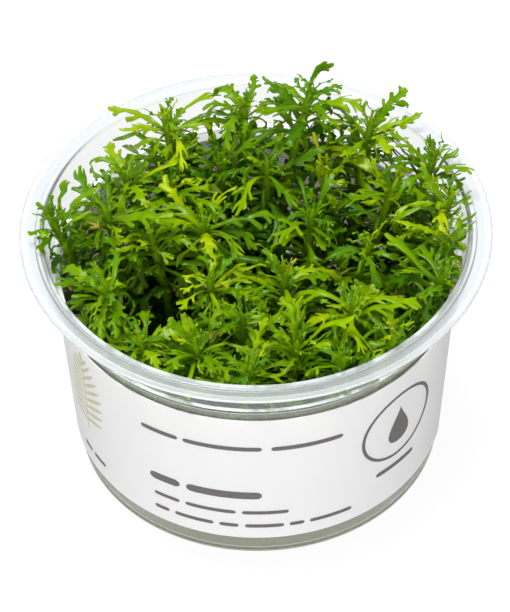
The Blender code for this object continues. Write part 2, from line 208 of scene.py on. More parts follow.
# Finer leaves between the main ones: distance below the crown (above it where negative), leaves in the
# ring, share of the habit's length, degrees steeper than the habit, and the forms they may have.
RINGS = (
    (-1.5, 3, 0.30, 38.0, "young"),
    (-0.7, 4, 0.42, 28.0, "young"),
    (0.3, 5, 0.60, 18.0, "young parted"),
    (2.4, 4, 0.85, 10.0, "parted simple comb"),
    (3.8, 4, 1.00, 2.0, "broad parted strap comb"),
    (5.4, 4, 1.00, -2.0, "parted simple comb"),
    (7.8, 4, 1.00, -6.0, "broad simple"),
    (9.8, 5, 1.00, -8.0, "parted simple"),
    (12.4, 5, 1.00, -6.0, "broad parted"),
    (16.0, 5, 0.95, -4.0, "parted simple"),
    (20.5, 5, 0.90, 0.0, "parted broad"),
    (25.0, 4, 0.90, 5.0, "parted broad"),
)

# More of them on the shoots next to the wall, on the side that faces it.
OUTER_SHOOT = 19.0
OUTWARD_FAN = math.radians(190.0)
OUTWARD_RINGS = (
    (2.5, 4, 0.75, 10.0, "parted simple strap"),
    (4.6, 5, 0.85, 14.0, "parted simple comb"),
    (6.5, 5, 0.90, 20.0, "parted simple strap"),
    (8.6, 5, 0.90, 20.0, "comb parted strap"),
    (11.0, 5, 0.95, 22.0, "parted broad strap"),
    (13.6, 4, 0.95, 24.0, "parted broad simple"),
    (16.5, 4, 0.95, 24.0, "parted broad simple"),
    (20.0, 3, 1.00, 20.0, "parted broad simple"),
    (24.0, 3, 1.00, 20.0, "broad simple"),
    (28.0, 3, 1.00, 20.0, "broad simple"),
)

# Finer leaves may touch each other. Those at the wall are planned so far into it and then pressed flat, with
# a slight gap. They curl more or less than the habit says, least above the crown, and the deep ones, which
# other leaves hide, have plain forms.
RING_CLEARANCE = -0.1
PRESSED = 2.2
PRESSED_GAP = 0.12
HIGHEST_TIP = 55.2
RING_ATTEMPTS = 8
RING_CURL = (0.8, 2.1)
CROWN_CURL = (0.5, 1.1)
HIDDEN_DEPTH = 7.5

# How far a finer leaf strays, in the same way, and the steepest that it may rise.
RING_ASIDE = 30.0
RING_TWIST = 75.0
RING_SWAY = 70.0
RING_LENGTHS = (0.75, 1.1)
RING_LATE_RISE = (-12.0, 35.0)
RING_LATE_SHORTER = 0.35
STEEPEST = 86.0

# The forms that a main leaf may have in full, by its shoot's habit.
MAIN_FORMS = {
    "star": "broad parted comb",
    "fan": "parted simple strap comb",
    "upright": "simple strap broad",
    "curly": "broad young comb",
}

# Leaf forms in full, for a length of 11 mm: half width of the stalk, the stretch of blade, its half width,
# how far each pair of lobes reaches, the width of a lobe, and how far lobes sweep forward, in degrees.
BLADES = {
    "parted": (0.40, (4.6, 9.9), 0.44, (2.6, 2.0), 0.74, (36.0, 24.0)),
    "broad": (0.44, (3.0, 10.1), 0.66, (1.7, 2.1, 1.5), 0.78, (40.0, 24.0)),
    "young": (0.46, (1.6, 9.9), 0.52, (1.0, 1.4, 1.0), 0.74, (42.0, 28.0)),
    "simple": (0.36, (6.6, 9.8), 0.46, (2.3,), 0.74, (28.0, 28.0)),
    "strap": (0.40, (8.4, 10.2), 0.60, (1.0,), 0.66, (30.0, 30.0)),
    "comb": (0.44, (3.0, 10.4), 0.66, (1.0, 1.4, 1.2, 0.8), 0.74, (50.0, 30.0)),
}
VARIANTS = 5
LOBE_CURL = 14.0
BLADE_HALF = 0.20
EDGE_HALF = 0.11

# What makes each leaf its own: its breadth, how far its sides curve down or up, and the chance that it has
# turned straw-coloured. A slow wave moves its tip by up to the flutter, and roots lie so far apart in the
# wave's pattern that no two leaves share one.
BREADTH = (0.62, 1.08)
HIDDEN_BREADTH = 1.3
CUPPING = (-4.5, 1.0)
FLUTTER = 3.6 * MM
WAVES_PER_LEAF = 2.6
WAVE_APART = (900.0, 900.0, 900.0)
STRAW_SHARE = 0.012

# What the skeleton of a shoot carries for each of its points: the leaf's bend and size, the stem's
# thickness, and the colour.
BENDS = (
    "heading", "rise", "half_droop", "half_sway", "arc", "length", "twist", "breadth", "cupping", "thickness",
)
COLOURINGS = ("tint", "bloom", "straw")

# The finished stem is this share of the solid's thickness, and its bud has these widths at shares of its
# height. Tints run from old shaded green at 0 to fresh green at 1, and differ by shoot and by leaf. Leaves
# darken with their depth in mm, a painted shade for the foliage above them, and young ones have more
# bloom.
STEM_SHARE = 0.92
BUD_SHARE = 0.85
BUD_WIDTHS = ((0.45, 0.62), (0.8, 0.38), (1.0, 0.08))
STEM_TINT = 0.62
BUD_TINT = 0.8
LEAF_TINT = 0.72
PAINTED_SHADE_PER_MM = 0.035
SHOOT_DIFFERS = 0.12
LEAF_DIFFERS = (-0.16, 0.2)
YOUNG_BLOOM = (-0.5, 0.9)
OTHER_BLOOM = (-1.6, 0.5)
STRAW_STAGE = (0.4, 1.0)

# The print on the band. A line is its height, its thickness and the rules along it, in degrees.
PRINT_SEAT = 0.002
PRINT_LIFT = 0.03
INK_STEP = 0.8
UPPER_LINE = (27.0, 0.95, ((-36.0, -24.0), (-22.5, 0.6), (3.2, 24.4)))
HEAVY_LINE = (15.2, 1.7, ((-34.6, -24.5), (-22.5, 0.4)))
NOTE_LINES = (
    (10.8, 0.8, ((-33.6, -25.0), (-23.2, -7.5), (-5.8, 8.4))),
    (7.4, 0.8, ((-33.8, -28.8), (-27.0, -14.5), (-12.8, -6.8), (-5.0, 7.0), (8.6, 13.2), (14.8, 28.6))),
)
SIGN_CENTRE = (45.0, 22.2)
SIGN_RADIUS = 7.6
SIGN_LINE = 0.6
SIGN_STEPS = 72
DROP_WIDTH = 3.3
DROP_HEIGHT = 8.4
DROP_STEPS = 32
SIGN_NOTE = (12.2, 1.0, ((37.0, 53.0),))
SIDE_NOTE = (8.0, 0.8, ((-68.0, -63.0), (-61.5, -55.0)))
SPRIG_FOOT = (-63.0, 13.6)
SPRIG_HEIGHT = 17.0
SPRIG_PAIRS = 9
BLADE_STEPS = 8

# The clear plastic's finishes, each with its tint, clearness and roughness. The wall is drawn thin and clear.
# The flange stays thicker and milkier, most of all at its edge, and the groove between is rolled thin. The
# ledge is made milky white as a painted highlight, so that it shows as a pale line of light along the step.
# A band of wall under it, from a margin below the band's upper edge, is made milky as painted light that
# stands in for the lit leaves seen through the wall there. The foot is rough and milky grey-beige, with the
# tone of the gel seen through it painted in.
PLASTICS = {
    "drawn wall": ("#FAFCFB", 0.985, 0.08),
    "flange seat": ("#E2E6E8", 0.84, 0.25),
    "thick edge": ("#E6E9EA", 0.7, 0.2),
    # Painted see-through tone: the gel's grey-beige as seen through the foot, rough so it shows no bright
    # reflection.
    "foot painted gel tone": ("#C6C1AE", 0.6, 0.35),
    # Painted highlight: the ledge is milky white so that it shows as a pale line of light.
    "shoulder ledge painted highlight": ("#F8FBFA", 0.17, 0.25),
    "flange groove": ("#E2E6EA", 0.89, 0.25),
    # Painted light: a milky band that stands in for the lit leaves behind the wall here.
    "wall under the ledge painted light": ("#E9EDE0", 0.8, 0.15),
}
LEDGE_MARGIN = 0.4

# How many features of each pattern lie on a millimetre. A wave of the draw is 11 mm long, a cloud in the gel
# 8 mm wide and a patch of leaf cells 1.4 mm. Fibres, spots of ink, veins and grains are finer on the real
# thing, and are drawn as coarse as it takes for them to show.
WAVES_PER_MM = 0.09
FIBRES_PER_MM = 2.2
INK_SPOTS_PER_MM = 1.6
CLOUDS_PER_MM = 0.12
LEAF_PATCHES_PER_MM = 0.7
VEINS_PER_MM = 2.6
GRAINS_PER_MM = 0.4

# How deep the surfaces' relief is in millimetres, the share of light that passes through paper and leaf, and
# how much patches of leaf cells differ in tint.
WAVE_DEPTH = 0.4
FIBRE_DEPTH = 0.04
VEIN_DEPTH = 0.12
PAPER_PASSES = 0.35
LEAF_PASSES = 0.46
LEAF_MOTTLE = 0.34

# The photograph's view: angle in degrees, distance, the point it looks at, and a long lens.
CAMERA_HEIGHT_ANGLE = 45.8966
CAMERA_DISTANCE = 750.0
CAMERA_TARGET = (-0.36, 0.0, 26.543)
CAMERA_ROLL = -1.0399
FOCAL_PIXELS = 4656.1
IMAGE_HEIGHT = 612
SENSOR_HEIGHT = 36.0

# The studio: what share of the white room lights the part and mirrors in it, the same for the lit floor, and
# the lamps, each with its place in metres, width and power, and the point they shine at.
ROOM_LIGHT = 0.5
ROOM_SHEEN = 0.07
FLOOR_GLOW = 0.94
FLOOR_SHEEN = 0.55
FLOOR_HALF = 1500.0
FLOOR_DROP = 0.02
LAMPS = {
    "overhead softbox": ((-0.12, 0.14, 0.9), 0.3, 9.9),
    "front fill": ((-0.12, -0.88, 0.2), 0.9, 8.6),
}
LAMP_TARGET = (0.0, 0.0, 0.03)


def srgb(code):
    """A linear colour from an sRGB hex value."""
    channels = [int(code[k:k + 2], 16) / 255.0 for k in (1, 3, 5)]
    return (*[c / 12.92 if c <= 0.04045 else ((c + 0.055) / 1.055) ** 2.4 for c in channels], 1.0)


def add(tree, kind, links=None, **settings):
    """Adds a node with its settings. Links gives its inputs: a value, a socket, or a node's first output."""
    made = tree.nodes.new(kind)
    for name, value in settings.items():
        setattr(made, name, value)
    for key, value in (links or {}).items():
        if isinstance(value, bpy.types.Node):
            value = value.outputs[0]
        if isinstance(value, bpy.types.NodeSocket):
            tree.links.new(value, made.inputs[key])
        else:
            made.inputs[key].default_value = value
    return made


# The cup, the band and the gel.


def wall_radius(z):
    """Outer radius of the cup's cone at height z."""
    return BASE_RADIUS + WALL_SLOPE * (z - HEEL_HEIGHT)


def room_radius(z):
    """How far from the axis foliage may reach at height z: to the wall, or out over the rim above it."""
    if z > CUP_HEIGHT + LEAN_HEIGHT:
        return RIM_RADIUS - RIM_CLEARANCE
    if z > SHOULDER_HEIGHT + 1.0:
        step_radius = wall_radius(SHOULDER_HEIGHT) + SHOULDER_STEP - WALL
        climb = min(1.0, (z - SHOULDER_HEIGHT) / (CUP_HEIGHT - SHOULDER_HEIGHT))
        return step_radius + (RIM_RADIUS - FLANGE_WIDTH - step_radius) * climb - WALL_CLEARANCE
    return wall_radius(z) - WALL - WALL_CLEARANCE


def pressed_radius(z):
    """How far out a leaf lies at height z where it's pressed against the wall, or leans over the rim."""
    inner = room_radius(min(z, CUP_HEIGHT)) + WALL_CLEARANCE - PRESSED_GAP
    over_rim = max(0.0, z - CUP_HEIGHT - 0.3)
    return min(RIM_RADIUS - RIM_CLEARANCE, inner + 1.5 * over_rim)


def cup_profile():
    """The cup's section from the middle of its underside, up the outside and down the inside."""
    step_radius = wall_radius(SHOULDER_HEIGHT) + SHOULDER_STEP
    flange_inner = RIM_RADIUS - FLANGE_WIDTH
    flange_low = CUP_HEIGHT - FLANGE_THICKNESS
    outside = [
        (FOOT_INNER - 1.0, FOOT_RISE),
        (FOOT_INNER, 0.0),
        (FOOT_OUTER, 0.0),
        (BASE_RADIUS, HEEL_HEIGHT),
        (wall_radius(BAND_HIGH - LEDGE_MARGIN), BAND_HIGH - LEDGE_MARGIN),
        (wall_radius(SHOULDER_HEIGHT), SHOULDER_HEIGHT),
        (step_radius, SHOULDER_HEIGHT + 0.1),
        (flange_inner + WALL, flange_low),
        (RIM_RADIUS - 0.45, flange_low),
        (RIM_RADIUS, CUP_HEIGHT - 0.2),
        (RIM_RADIUS - 0.15, CUP_HEIGHT),
    ]
    top = [
        (GROOVE_OUTER + GROOVE_SLOPE, CUP_HEIGHT),
        (GROOVE_OUTER, CUP_HEIGHT - GROOVE_DEPTH),
        (GROOVE_INNER, CUP_HEIGHT - GROOVE_DEPTH),
        (GROOVE_INNER - GROOVE_SLOPE, CUP_HEIGHT),
        (flange_inner, CUP_HEIGHT),
    ]
    inside = [
        (step_radius - WALL, SHOULDER_HEIGHT + 0.1 + WALL),
        (wall_radius(SHOULDER_HEIGHT) - WALL, SHOULDER_HEIGHT + WALL),
        (BASE_RADIUS - WALL, HEEL_HEIGHT + WALL),
        (FOOT_OUTER - 0.65, WALL + 0.15),
        (FOOT_INNER + 0.3, WALL + 0.15),
        (FOOT_INNER - 0.8, FOOT_RISE + WALL),
    ]
    return outside + top + inside


def rounded(profile, radius, steps=4):
    """The section with its corners eased into arcs, none longer than a third of the sides it joins."""
    eased = [profile[0]]
    for before, corner, after in zip(profile, profile[1:], profile[2:]):
        here = Vector(corner)
        to_before, to_after = Vector(before) - here, Vector(after) - here
        reach = min(radius, to_before.length / 3.0, to_after.length / 3.0)
        start, end = here + to_before.normalized() * reach, here + to_after.normalized() * reach
        for k in range(steps + 1):
            t = k / steps
            eased.append(tuple(start * (1 - t) ** 2 + here * 2 * t * (1 - t) + end * t ** 2))
    eased.append(profile[-1])
    return eased


def centre_of(points):
    """The mean of some points."""
    return sum(points, Vector()) / len(points)


def skin(rings):
    """Points and quads of a tube through rings of equal length."""
    count = len(rings[0])
    points = [point for ring in rings for point in ring]
    faces = []
    for level in range(len(rings) - 1):
        low, high = level * count, (level + 1) * count
        for k in range(count):
            following = (k + 1) % count
            faces.append((low + k, low + following, high + following, high + k))
    return points, faces


def turned_solid(profile, facets=FACETS):
    """A closed solid of revolution from a section that starts and ends beside the axis."""
    turns = [FULL_TURN * k / facets for k in range(facets)]
    rings = [[Vector((r * math.cos(turn), r * math.sin(turn), z)) for turn in turns] for r, z in profile]
    points, faces = skin(rings)
    last = len(points) - facets
    for start, z, outward_down in ((0, profile[0][1], True), (last, profile[-1][1], False)):
        centre = len(points)
        points.append(Vector((0.0, 0.0, z)))
        for k in range(facets):
            edge = (start + k, start + (k + 1) % facets)
            faces.append((edge[1], edge[0], centre) if outward_down else (edge[0], edge[1], centre))
    return points, faces


def on_band(turn, z, lift):
    """A point of the paper band from its angle in degrees and height, lifted off the band's inner face."""
    angle = math.radians(turn)
    radius = wall_radius(z) + GAP + lift
    return Vector((radius * math.sin(angle), -radius * math.cos(angle), z))


def band_solid():
    """The paper band, a flat strip bent round the cone."""
    heights = [BAND_LOW + (BAND_HIGH - BAND_LOW) * row / BAND_ROWS for row in range(BAND_ROWS + 1)]
    sections = []
    for step in range(BAND_COLUMNS + 1):
        turn = BAND_START + BAND_SWEEP * step / BAND_COLUMNS
        outer = [on_band(turn, z, BAND_THICKNESS) for z in heights]
        sections.append(outer + [on_band(turn, z, 0.0) for z in reversed(heights)])
    points, faces = skin(sections)
    count = len(sections[0])
    faces.append(tuple(range(count)))
    faces.append(tuple(range(len(points) - 1, len(points) - count - 1, -1)))
    return points, faces


def gel_profile():
    """The gel's section, poured against the cup's floor and wall, its edge drawn up where it wets them."""
    inset = WALL + WETTING_GAP
    edge = wall_radius(GEL_TOP + GEL_EDGE) - inset
    return [
        (FOOT_INNER - 1.2, FOOT_RISE + inset),
        (FOOT_INNER + 0.3, inset + 0.15),
        (FOOT_OUTER - 0.75, inset + 0.15),
        (BASE_RADIUS - inset - 0.05, HEEL_HEIGHT + inset),
        (edge, GEL_TOP + GEL_EDGE),
        (edge - 0.25 * GEL_EDGE_WIDTH, GEL_TOP + 0.45 * GEL_EDGE),
        (edge - GEL_EDGE_WIDTH, GEL_TOP),
        (0.5 * edge, GEL_TOP - 0.1),
    ]


# The plants.


def stem_axis(index, share):
    """A point of a shoot's axis, from its foot in the gel (0) to its crown (1), and the direction there."""
    crown, lean, _ = SHOOTS[index]
    top = Vector(crown)
    foot = Vector((
        crown[0] * FOOT_PULL + lean[0],
        crown[1] * FOOT_PULL + lean[1],
        GEL_TOP - SOCKET_DEPTH + GAP,
    ))
    knee = Vector((foot.x, foot.y, foot.z + KNEE_SHARE * (top.z - foot.z)))
    point = foot * (1 - share) ** 2 + knee * 2 * share * (1 - share) + top * share ** 2
    ahead = (knee - foot) * (1 - share) + (top - knee) * share
    return point, ahead.normalized()


def stem_shares(index):
    """Where along a shoot's axis its rings lie: the foot and both ends of each whorl's node."""
    length = SHOOTS[index][0][2] - GEL_TOP + SOCKET_DEPTH
    shares = [0.0]
    for depth, _, _ in reversed(WHORLS):
        shares.append(1.0 - (depth + NODE_HEIGHT) / length)
        shares.append(1.0 - depth / length)
    return shares


def stem_rings(index, grow=0.0):
    """Six-sided rings up the stem, thinner towards the crown."""
    turn0 = random.Random(SEED * 100 + index).uniform(0.0, math.pi / 3)
    rings = []
    for share in stem_shares(index):
        centre, ahead = stem_axis(index, share)
        side = ahead.cross(Vector((0.0, 1.0, 0.0))).normalized()
        front = ahead.cross(side)
        radius = STEM_RADIUS * (FOOT_SWELL - STEM_TAPER * share) + grow
        rings.append([
            centre + (side * math.cos(turn) + front * math.sin(turn)) * radius
            for turn in (turn0 + FULL_TURN * k / STEM_SIDES for k in range(STEM_SIDES))
        ])
    return rings


def stem_solid(index, grow=0.0):
    """A shoot's bare stem: its side faces ring by ring, then the foot and the pointed bud."""
    rings = stem_rings(index, grow)
    points, faces = skin(rings)
    faces.append(tuple(reversed(range(STEM_SIDES))))
    crown, ahead = stem_axis(index, 1.0)
    top, bud = len(points) - STEM_SIDES, len(points)
    points.append(crown + ahead * (BUD_HEIGHT + grow))
    for k in range(STEM_SIDES):
        faces.append((top + k, top + (k + 1) % STEM_SIDES, bud))
    return points, faces


def whorl_ring(whorl):
    """Number of the stem ring at the lower end of a whorl's node."""
    return 1 + 2 * (len(WHORLS) - 1 - whorl)


def leaf_frame(leaf, share):
    """Centre of a leaf's midrib and its along, across and upper directions, on the arc that it bends in."""
    heading = leaf.azimuth + leaf.sway * share / 2.0
    outward = Vector((math.cos(heading), math.sin(heading), 0.0))
    pitch = leaf.rise - leaf.droop * share
    out = (math.sin(leaf.rise) - math.sin(pitch)) / leaf.droop
    high = (math.cos(pitch) - math.cos(leaf.rise)) / leaf.droop
    along = outward * math.cos(pitch) + UP * math.sin(pitch)
    level = UP.cross(outward)
    tilt = leaf.twist * share
    across = level * math.cos(tilt) + along.cross(level) * math.sin(tilt)
    return leaf.root + (outward * out + UP * high) * leaf.length, along, across, along.cross(across)


def leaf_ring(leaf, share, half_width, half_thickness):
    """Four corners of the leaf's section: lower left, lower right, upper right, upper left."""
    centre, _, across, upper = leaf_frame(leaf, share)
    wide, thick = across * half_width, upper * half_thickness
    return [centre - wide - thick, centre + wide - thick, centre + wide + thick, centre - wide + thick]


def leaf_shell(leaf, root, grow=0.0):
    """Points and faces of a leaf beyond its root section, which points 0 to 3 repeat."""
    rings, pairs = FORMS[WHORLS[leaf.whorl][2]]
    size = leaf.length / FORM_LENGTH
    points = list(root)
    for share, half_width, half_thickness in rings:
        points += leaf_ring(leaf, share, half_width * size + grow, half_thickness + grow)
    tip = len(points)
    points.append(leaf_frame(leaf, 1.0 + grow / leaf.length)[0])
    lobes = {}
    for stretch, share, reach in pairs:
        lobes[stretch, 1] = (share + leaf.lead, reach)
        lobes[stretch, 3] = (share - leaf.lead, -reach)
    faces = []
    for stretch in range(len(rings) + 1):
        for side in range(4):
            near = [stretch * 4 + side, stretch * 4 + (side + 1) % 4]
            outline = near + ([near[1] + 4, near[0] + 4] if stretch < len(rings) else [tip])
            if (stretch, side) not in lobes:
                faces.append(tuple(outline))
                continue
            share, reach = lobes[stretch, side]
            centre, _, across, _ = leaf_frame(leaf, share)
            apex = len(points)
            points.append(centre + across * (reach * size + math.copysign(grow, reach)))
            for k, corner in enumerate(outline):
                faces.append((corner, outline[(k + 1) % len(outline)], apex))
    return points, faces


def bounds_of(points):
    """Lowest and highest corner of the box round some points."""
    return (
        Vector(min(point[axis] for point in points) for axis in range(3)),
        Vector(max(point[axis] for point in points) for axis in range(3)),
    )


class Obstacle:
    """A closed shape that leaves keep clear of."""

    def __init__(self, points, faces, shoot=None):
        self.low, self.high = bounds_of(points)
        self.tree = BVHTree.FromPolygons(points, faces)
        self.shoot = shoot

    def meets(self, other):
        """Whether the two surfaces cross."""
        apart = any(self.low[a] > other.high[a] or other.low[a] > self.high[a] for a in range(3))
        return not apart and bool(self.tree.overlap(other.tree))


def leaf_obstacle(leaf, start, grow):
    """The leaf from a share of its length outward, closed at the cut."""
    root = leaf_ring(leaf, start, ROOT_HALF_WIDTH + grow, ROOT_HALF_THICKNESS + grow)
    points, faces = leaf_shell(leaf, root, grow)
    return Obstacle(points, faces + [(3, 2, 1, 0)], leaf.shoot)


def leaf_base(leaf):
    """The first part of a leaf as a plain stub, kept clear of by other shoots' leaves alone."""
    near = leaf_ring(leaf, 0.0, ROOT_HALF_THICKNESS, ROOT_HALF_WIDTH)
    far = leaf_ring(leaf, BASE_SHARE, ROOT_HALF_WIDTH, ROOT_HALF_THICKNESS)
    points = near + far
    faces = [(0, 1, 2, 3), (7, 6, 5, 4)]
    faces += [(k, (k + 1) % 4, (k + 1) % 4 + 4, k + 4) for k in range(4)]
    return points, faces, leaf.shoot


def open_side(index, low, high):
    """The face of an opening's column that best parts it from a shoot: axis, sign and place."""
    crown, foot = stem_axis(index, 1.0)[0], stem_axis(index, 0.0)[0]
    choices = []
    for axis in (0, 1):
        choices.append((min(crown[axis], foot[axis]) - high[axis], axis, 1, high[axis]))
        choices.append((low[axis] - max(crown[axis], foot[axis]), axis, -1, low[axis]))
    return max(choices)[1:]


def in_room(leaf, pressed=0.0):
    """Whether the leaf stays inside the cup, above the gel and out of the openings' columns.

    A leaf that is pressed against the wall may be planned further out by that much.
    """
    points, _ = leaf_shell(leaf, leaf_ring(leaf, 0.05, ROOT_HALF_WIDTH, ROOT_HALF_THICKNESS), CLEARANCE)
    highest = SHOOTS[leaf.shoot][0][2] + RISE_ABOVE_CROWN
    for point in points:
        if not GEL_TOP + GEL_CLEARANCE <= point.z <= highest:
            return False
        if math.hypot(point.x, point.y) > room_radius(point.z) + pressed:
            return False
    for low, high in OPENINGS:
        axis, sign, place = open_side(leaf.shoot, low, high)
        if any((point[axis] - place) * sign < GAP for point in points):
            return False
    return True


def planned_leaf(index, whorl, face, rings, dice, attempt):
    """A leaf for one face of a whorl's node, further from its habit with each attempt."""
    rise, droop, length = HABITS[SHOOTS[index][2]]
    low = whorl_ring(whorl)
    corners = [rings[low][face], rings[low][(face + 1) % STEM_SIDES],
               rings[low + 1][(face + 1) % STEM_SIDES], rings[low + 1][face]]
    root = centre_of(corners)
    outward = root - centre_of(rings[low] + rings[low + 1])
    ease = min(1.0, 0.15 + attempt / 10.0)
    flatter = LOWER_FLATTER if whorl else 0.0
    aside = dice.uniform(-ASIDE, ASIDE) * max(0.5, ease)
    raised = dice.uniform(*rise) - flatter + dice.uniform(*LATE_RISE) * max(0.0, ease - 0.4)
    return Leaf(
        shoot=index,
        whorl=whorl,
        face=face,
        root=root,
        azimuth=math.atan2(outward.y, outward.x) + math.radians(aside),
        rise=math.radians(raised),
        droop=math.radians(dice.uniform(*droop)),
        length=dice.uniform(*length) * (1.0 - LATE_SHORTER * max(0.0, ease - 0.2)),
        twist=math.radians(dice.uniform(-TWIST, TWIST)),
        lead=dice.uniform(-LOBE_LEAD, LOBE_LEAD),
        sway=math.radians(dice.uniform(-SWAY, SWAY)),
    )


def grow_leaves(obstacles):
    """Every main leaf that fits, upper whorls of all the shoots first."""
    leaves = []
    for whorl, (_, wanted, _) in enumerate(WHORLS):
        for index in range(len(SHOOTS)):
            dice = random.Random(SEED + 1000 * whorl + index)
            rings = stem_rings(index)
            faces = list(range(STEM_SIDES))
            dice.shuffle(faces)
            grown = 0
            for face in faces:
                for attempt in range(ATTEMPTS):
                    if grown == wanted:
                        break
                    leaf = planned_leaf(index, whorl, face, rings, dice, attempt)
                    if not in_room(leaf):
                        continue
                    whole = leaf_obstacle(leaf, 0.03, CLEARANCE)
                    outer = leaf_obstacle(leaf, BASE_SHARE, CLEARANCE)
                    if any((outer if item.shoot == index else whole).meets(item) for item in obstacles):
                        continue
                    leaves.append(leaf)
                    grown += 1
                    obstacles.append(leaf_obstacle(leaf, BASE_SHARE, 0.0))
                    obstacles.append(Obstacle(*leaf_base(leaf)))
                    break
    return leaves


def ring_leaf(index, depth, turn, share, steeper, dice, attempt):
    """A finer leaf in a ring round the stem, further from its habit with each attempt."""
    rise, droop, length = HABITS[SHOOTS[index][2]]
    stem_length = SHOOTS[index][0][2] - GEL_TOP + SOCKET_DEPTH
    centre, ahead = stem_axis(index, min(1.0, 1.0 - depth / stem_length))
    centre = centre - ahead * min(0.0, depth)
    azimuth = turn + math.radians(dice.uniform(-RING_ASIDE, RING_ASIDE))
    outward = Vector((math.cos(azimuth), math.sin(azimuth), 0.0))
    astray = attempt / RING_ATTEMPTS
    raised = dice.uniform(*rise) + steeper + dice.uniform(*RING_LATE_RISE) * astray
    curl = RING_CURL if depth > 0.0 else CROWN_CURL
    kept_share = 1.0 - RING_LATE_SHORTER * astray
    return Leaf(
        shoot=index,
        whorl=len(WHORLS) - 1,
        face=None,
        root=centre + outward * 0.3,
        azimuth=azimuth,
        rise=math.radians(min(STEEPEST, raised)),
        droop=math.radians(dice.uniform(*droop) * dice.uniform(*curl) * math.sqrt(share)),
        length=dice.uniform(*length) * share * dice.uniform(*RING_LENGTHS) * kept_share,
        twist=math.radians(dice.uniform(-RING_TWIST, RING_TWIST)),
        lead=dice.uniform(-LOBE_LEAD, LOBE_LEAD),
        sway=math.radians(dice.uniform(-RING_SWAY, RING_SWAY)),
    )


def grow_rings(obstacles):
    """The finer leaves that fit, with the depth and forms of each, upper rings of all the shoots first."""
    grown = []
    for number, (depth, wanted, share, steeper, choices) in enumerate(RINGS + OUTWARD_RINGS):
        for index, (crown, _, _) in enumerate(SHOOTS):
            dice = random.Random(SEED * 50 + 400 * number + index)
            if number < len(RINGS):
                first, apart = dice.uniform(0.0, FULL_TURN), FULL_TURN / wanted
            elif math.hypot(crown[0], crown[1]) > OUTER_SHOOT:
                first = math.atan2(crown[1], crown[0]) - OUTWARD_FAN / 2.0
                apart = OUTWARD_FAN / (wanted - 1)
            else:
                continue
            for k in range(wanted):
                for attempt in range(RING_ATTEMPTS):
                    leaf = ring_leaf(index, depth, first + apart * k, share, steeper, dice, attempt)
                    if not in_room(leaf, PRESSED):
                        continue
                    inner, outer = (leaf_obstacle(leaf, start, RING_CLEARANCE) for start in (0.2, 0.4))
                    if any((outer if item.shoot == index else inner).meets(item) for item in obstacles):
                        continue
                    grown.append((leaf, depth, choices))
                    obstacles.append(leaf_obstacle(leaf, 0.3, 0.0))
                    break
    return grown


# Leaf meshes.


def leaf_cage(form, dice):
    """Closed cage of a lobed leaf along X, one unit long, that a level of subdivision rounds."""
    stalk, (blade_start, blade_end), blade, reaches, lobe, sweeps = BLADES[form]
    pitch = (blade_end - blade_start) / len(reaches)
    rows = [(-0.3, stalk * 1.15), (0.35 * blade_start, stalk)]
    lobe_rows = []
    for k in range(len(reaches)):
        middle = blade_start + pitch * (k + 0.5)
        swell = blade * (0.8 + 0.5 * math.sin(math.pi * (k + 0.8) / len(reaches)))
        lobe_rows.append(len(rows))
        rows.append((middle - lobe / 2.0, swell))
        rows.append((middle + lobe / 2.0, swell * 0.92))
    rows.append((blade_end + 0.4, blade * 0.8))
    rows.append((FORM_LENGTH, 0.52 * lobe))
    fold = dice.uniform(0.05, 0.3)
    points = []
    for x, half in rows:
        for side in (-1, 0, 1):
            thick = EDGE_HALF if side else BLADE_HALF
            for face in (1, -1):
                points.append(Vector((x, side * half, abs(side) * half * fold + face * thick)))
    faces = [(0, 2, 3, 1), (2, 4, 5, 3)]
    end = 6 * (len(rows) - 1)
    faces += [(end + 2, end, end + 1, end + 3), (end + 4, end + 2, end + 3, end + 5)]
    for row in range(len(rows) - 1):
        a, b = 6 * row, 6 * (row + 1)
        faces += [(a, b, b + 2, a + 2), (a + 2, b + 2, b + 4, a + 4)]
        faces += [(a + 1, a + 3, b + 3, b + 1), (a + 3, a + 5, b + 5, b + 3)]
        for side, (top, low) in ((-1, (0, 1)), (1, (4, 5))):
            base = [a + top, b + top, b + low, a + low]
            if row in lobe_rows:
                k = lobe_rows.index(row)
                part = k / max(1, len(reaches) - 1)
                sweep = sweeps[0] + (sweeps[1] - sweeps[0]) * part + dice.uniform(-7.0, 7.0)
                reach = reaches[k] * dice.uniform(0.75, 1.15)
                centre = centre_of([points[corner] for corner in base])
                for turn, width in ((0.5, 0.52), (-0.5, 0.54)):
                    angle = math.radians(sweep + LOBE_CURL * turn)
                    ahead = Vector((math.cos(angle), side * math.sin(angle), fold * math.sin(angle)))
                    centre += ahead * reach / 2.0
                    across = Vector((math.sin(angle), -side * math.cos(angle), 0.0)) * lobe * width
                    ring = []
                    for edge, face in ((-1, 1), (1, 1), (1, -1), (-1, -1)):
                        ring.append(len(points))
                        points.append(centre + across * edge + UP * (face * EDGE_HALF))
                    for corner in range(4):
                        following = (corner + 1) % 4
                        faces.append((base[corner], base[following], ring[following], ring[corner]))
                    base = ring
            faces.append(tuple(base))
    return [point / FORM_LENGTH for point in points], faces


def mesh_of(name, points, faces, scale=1.0):
    """A smooth mesh from points, its faces turned outward."""
    mesh = bpy.data.meshes.new(name)
    mesh.from_pydata([point * scale for point in points], [], faces)
    shape = bmesh.new()
    shape.from_mesh(mesh)
    bmesh.ops.recalc_face_normals(shape, faces=shape.faces)
    shape.to_mesh(mesh)
    shape.free()
    mesh.shade_smooth()
    return mesh


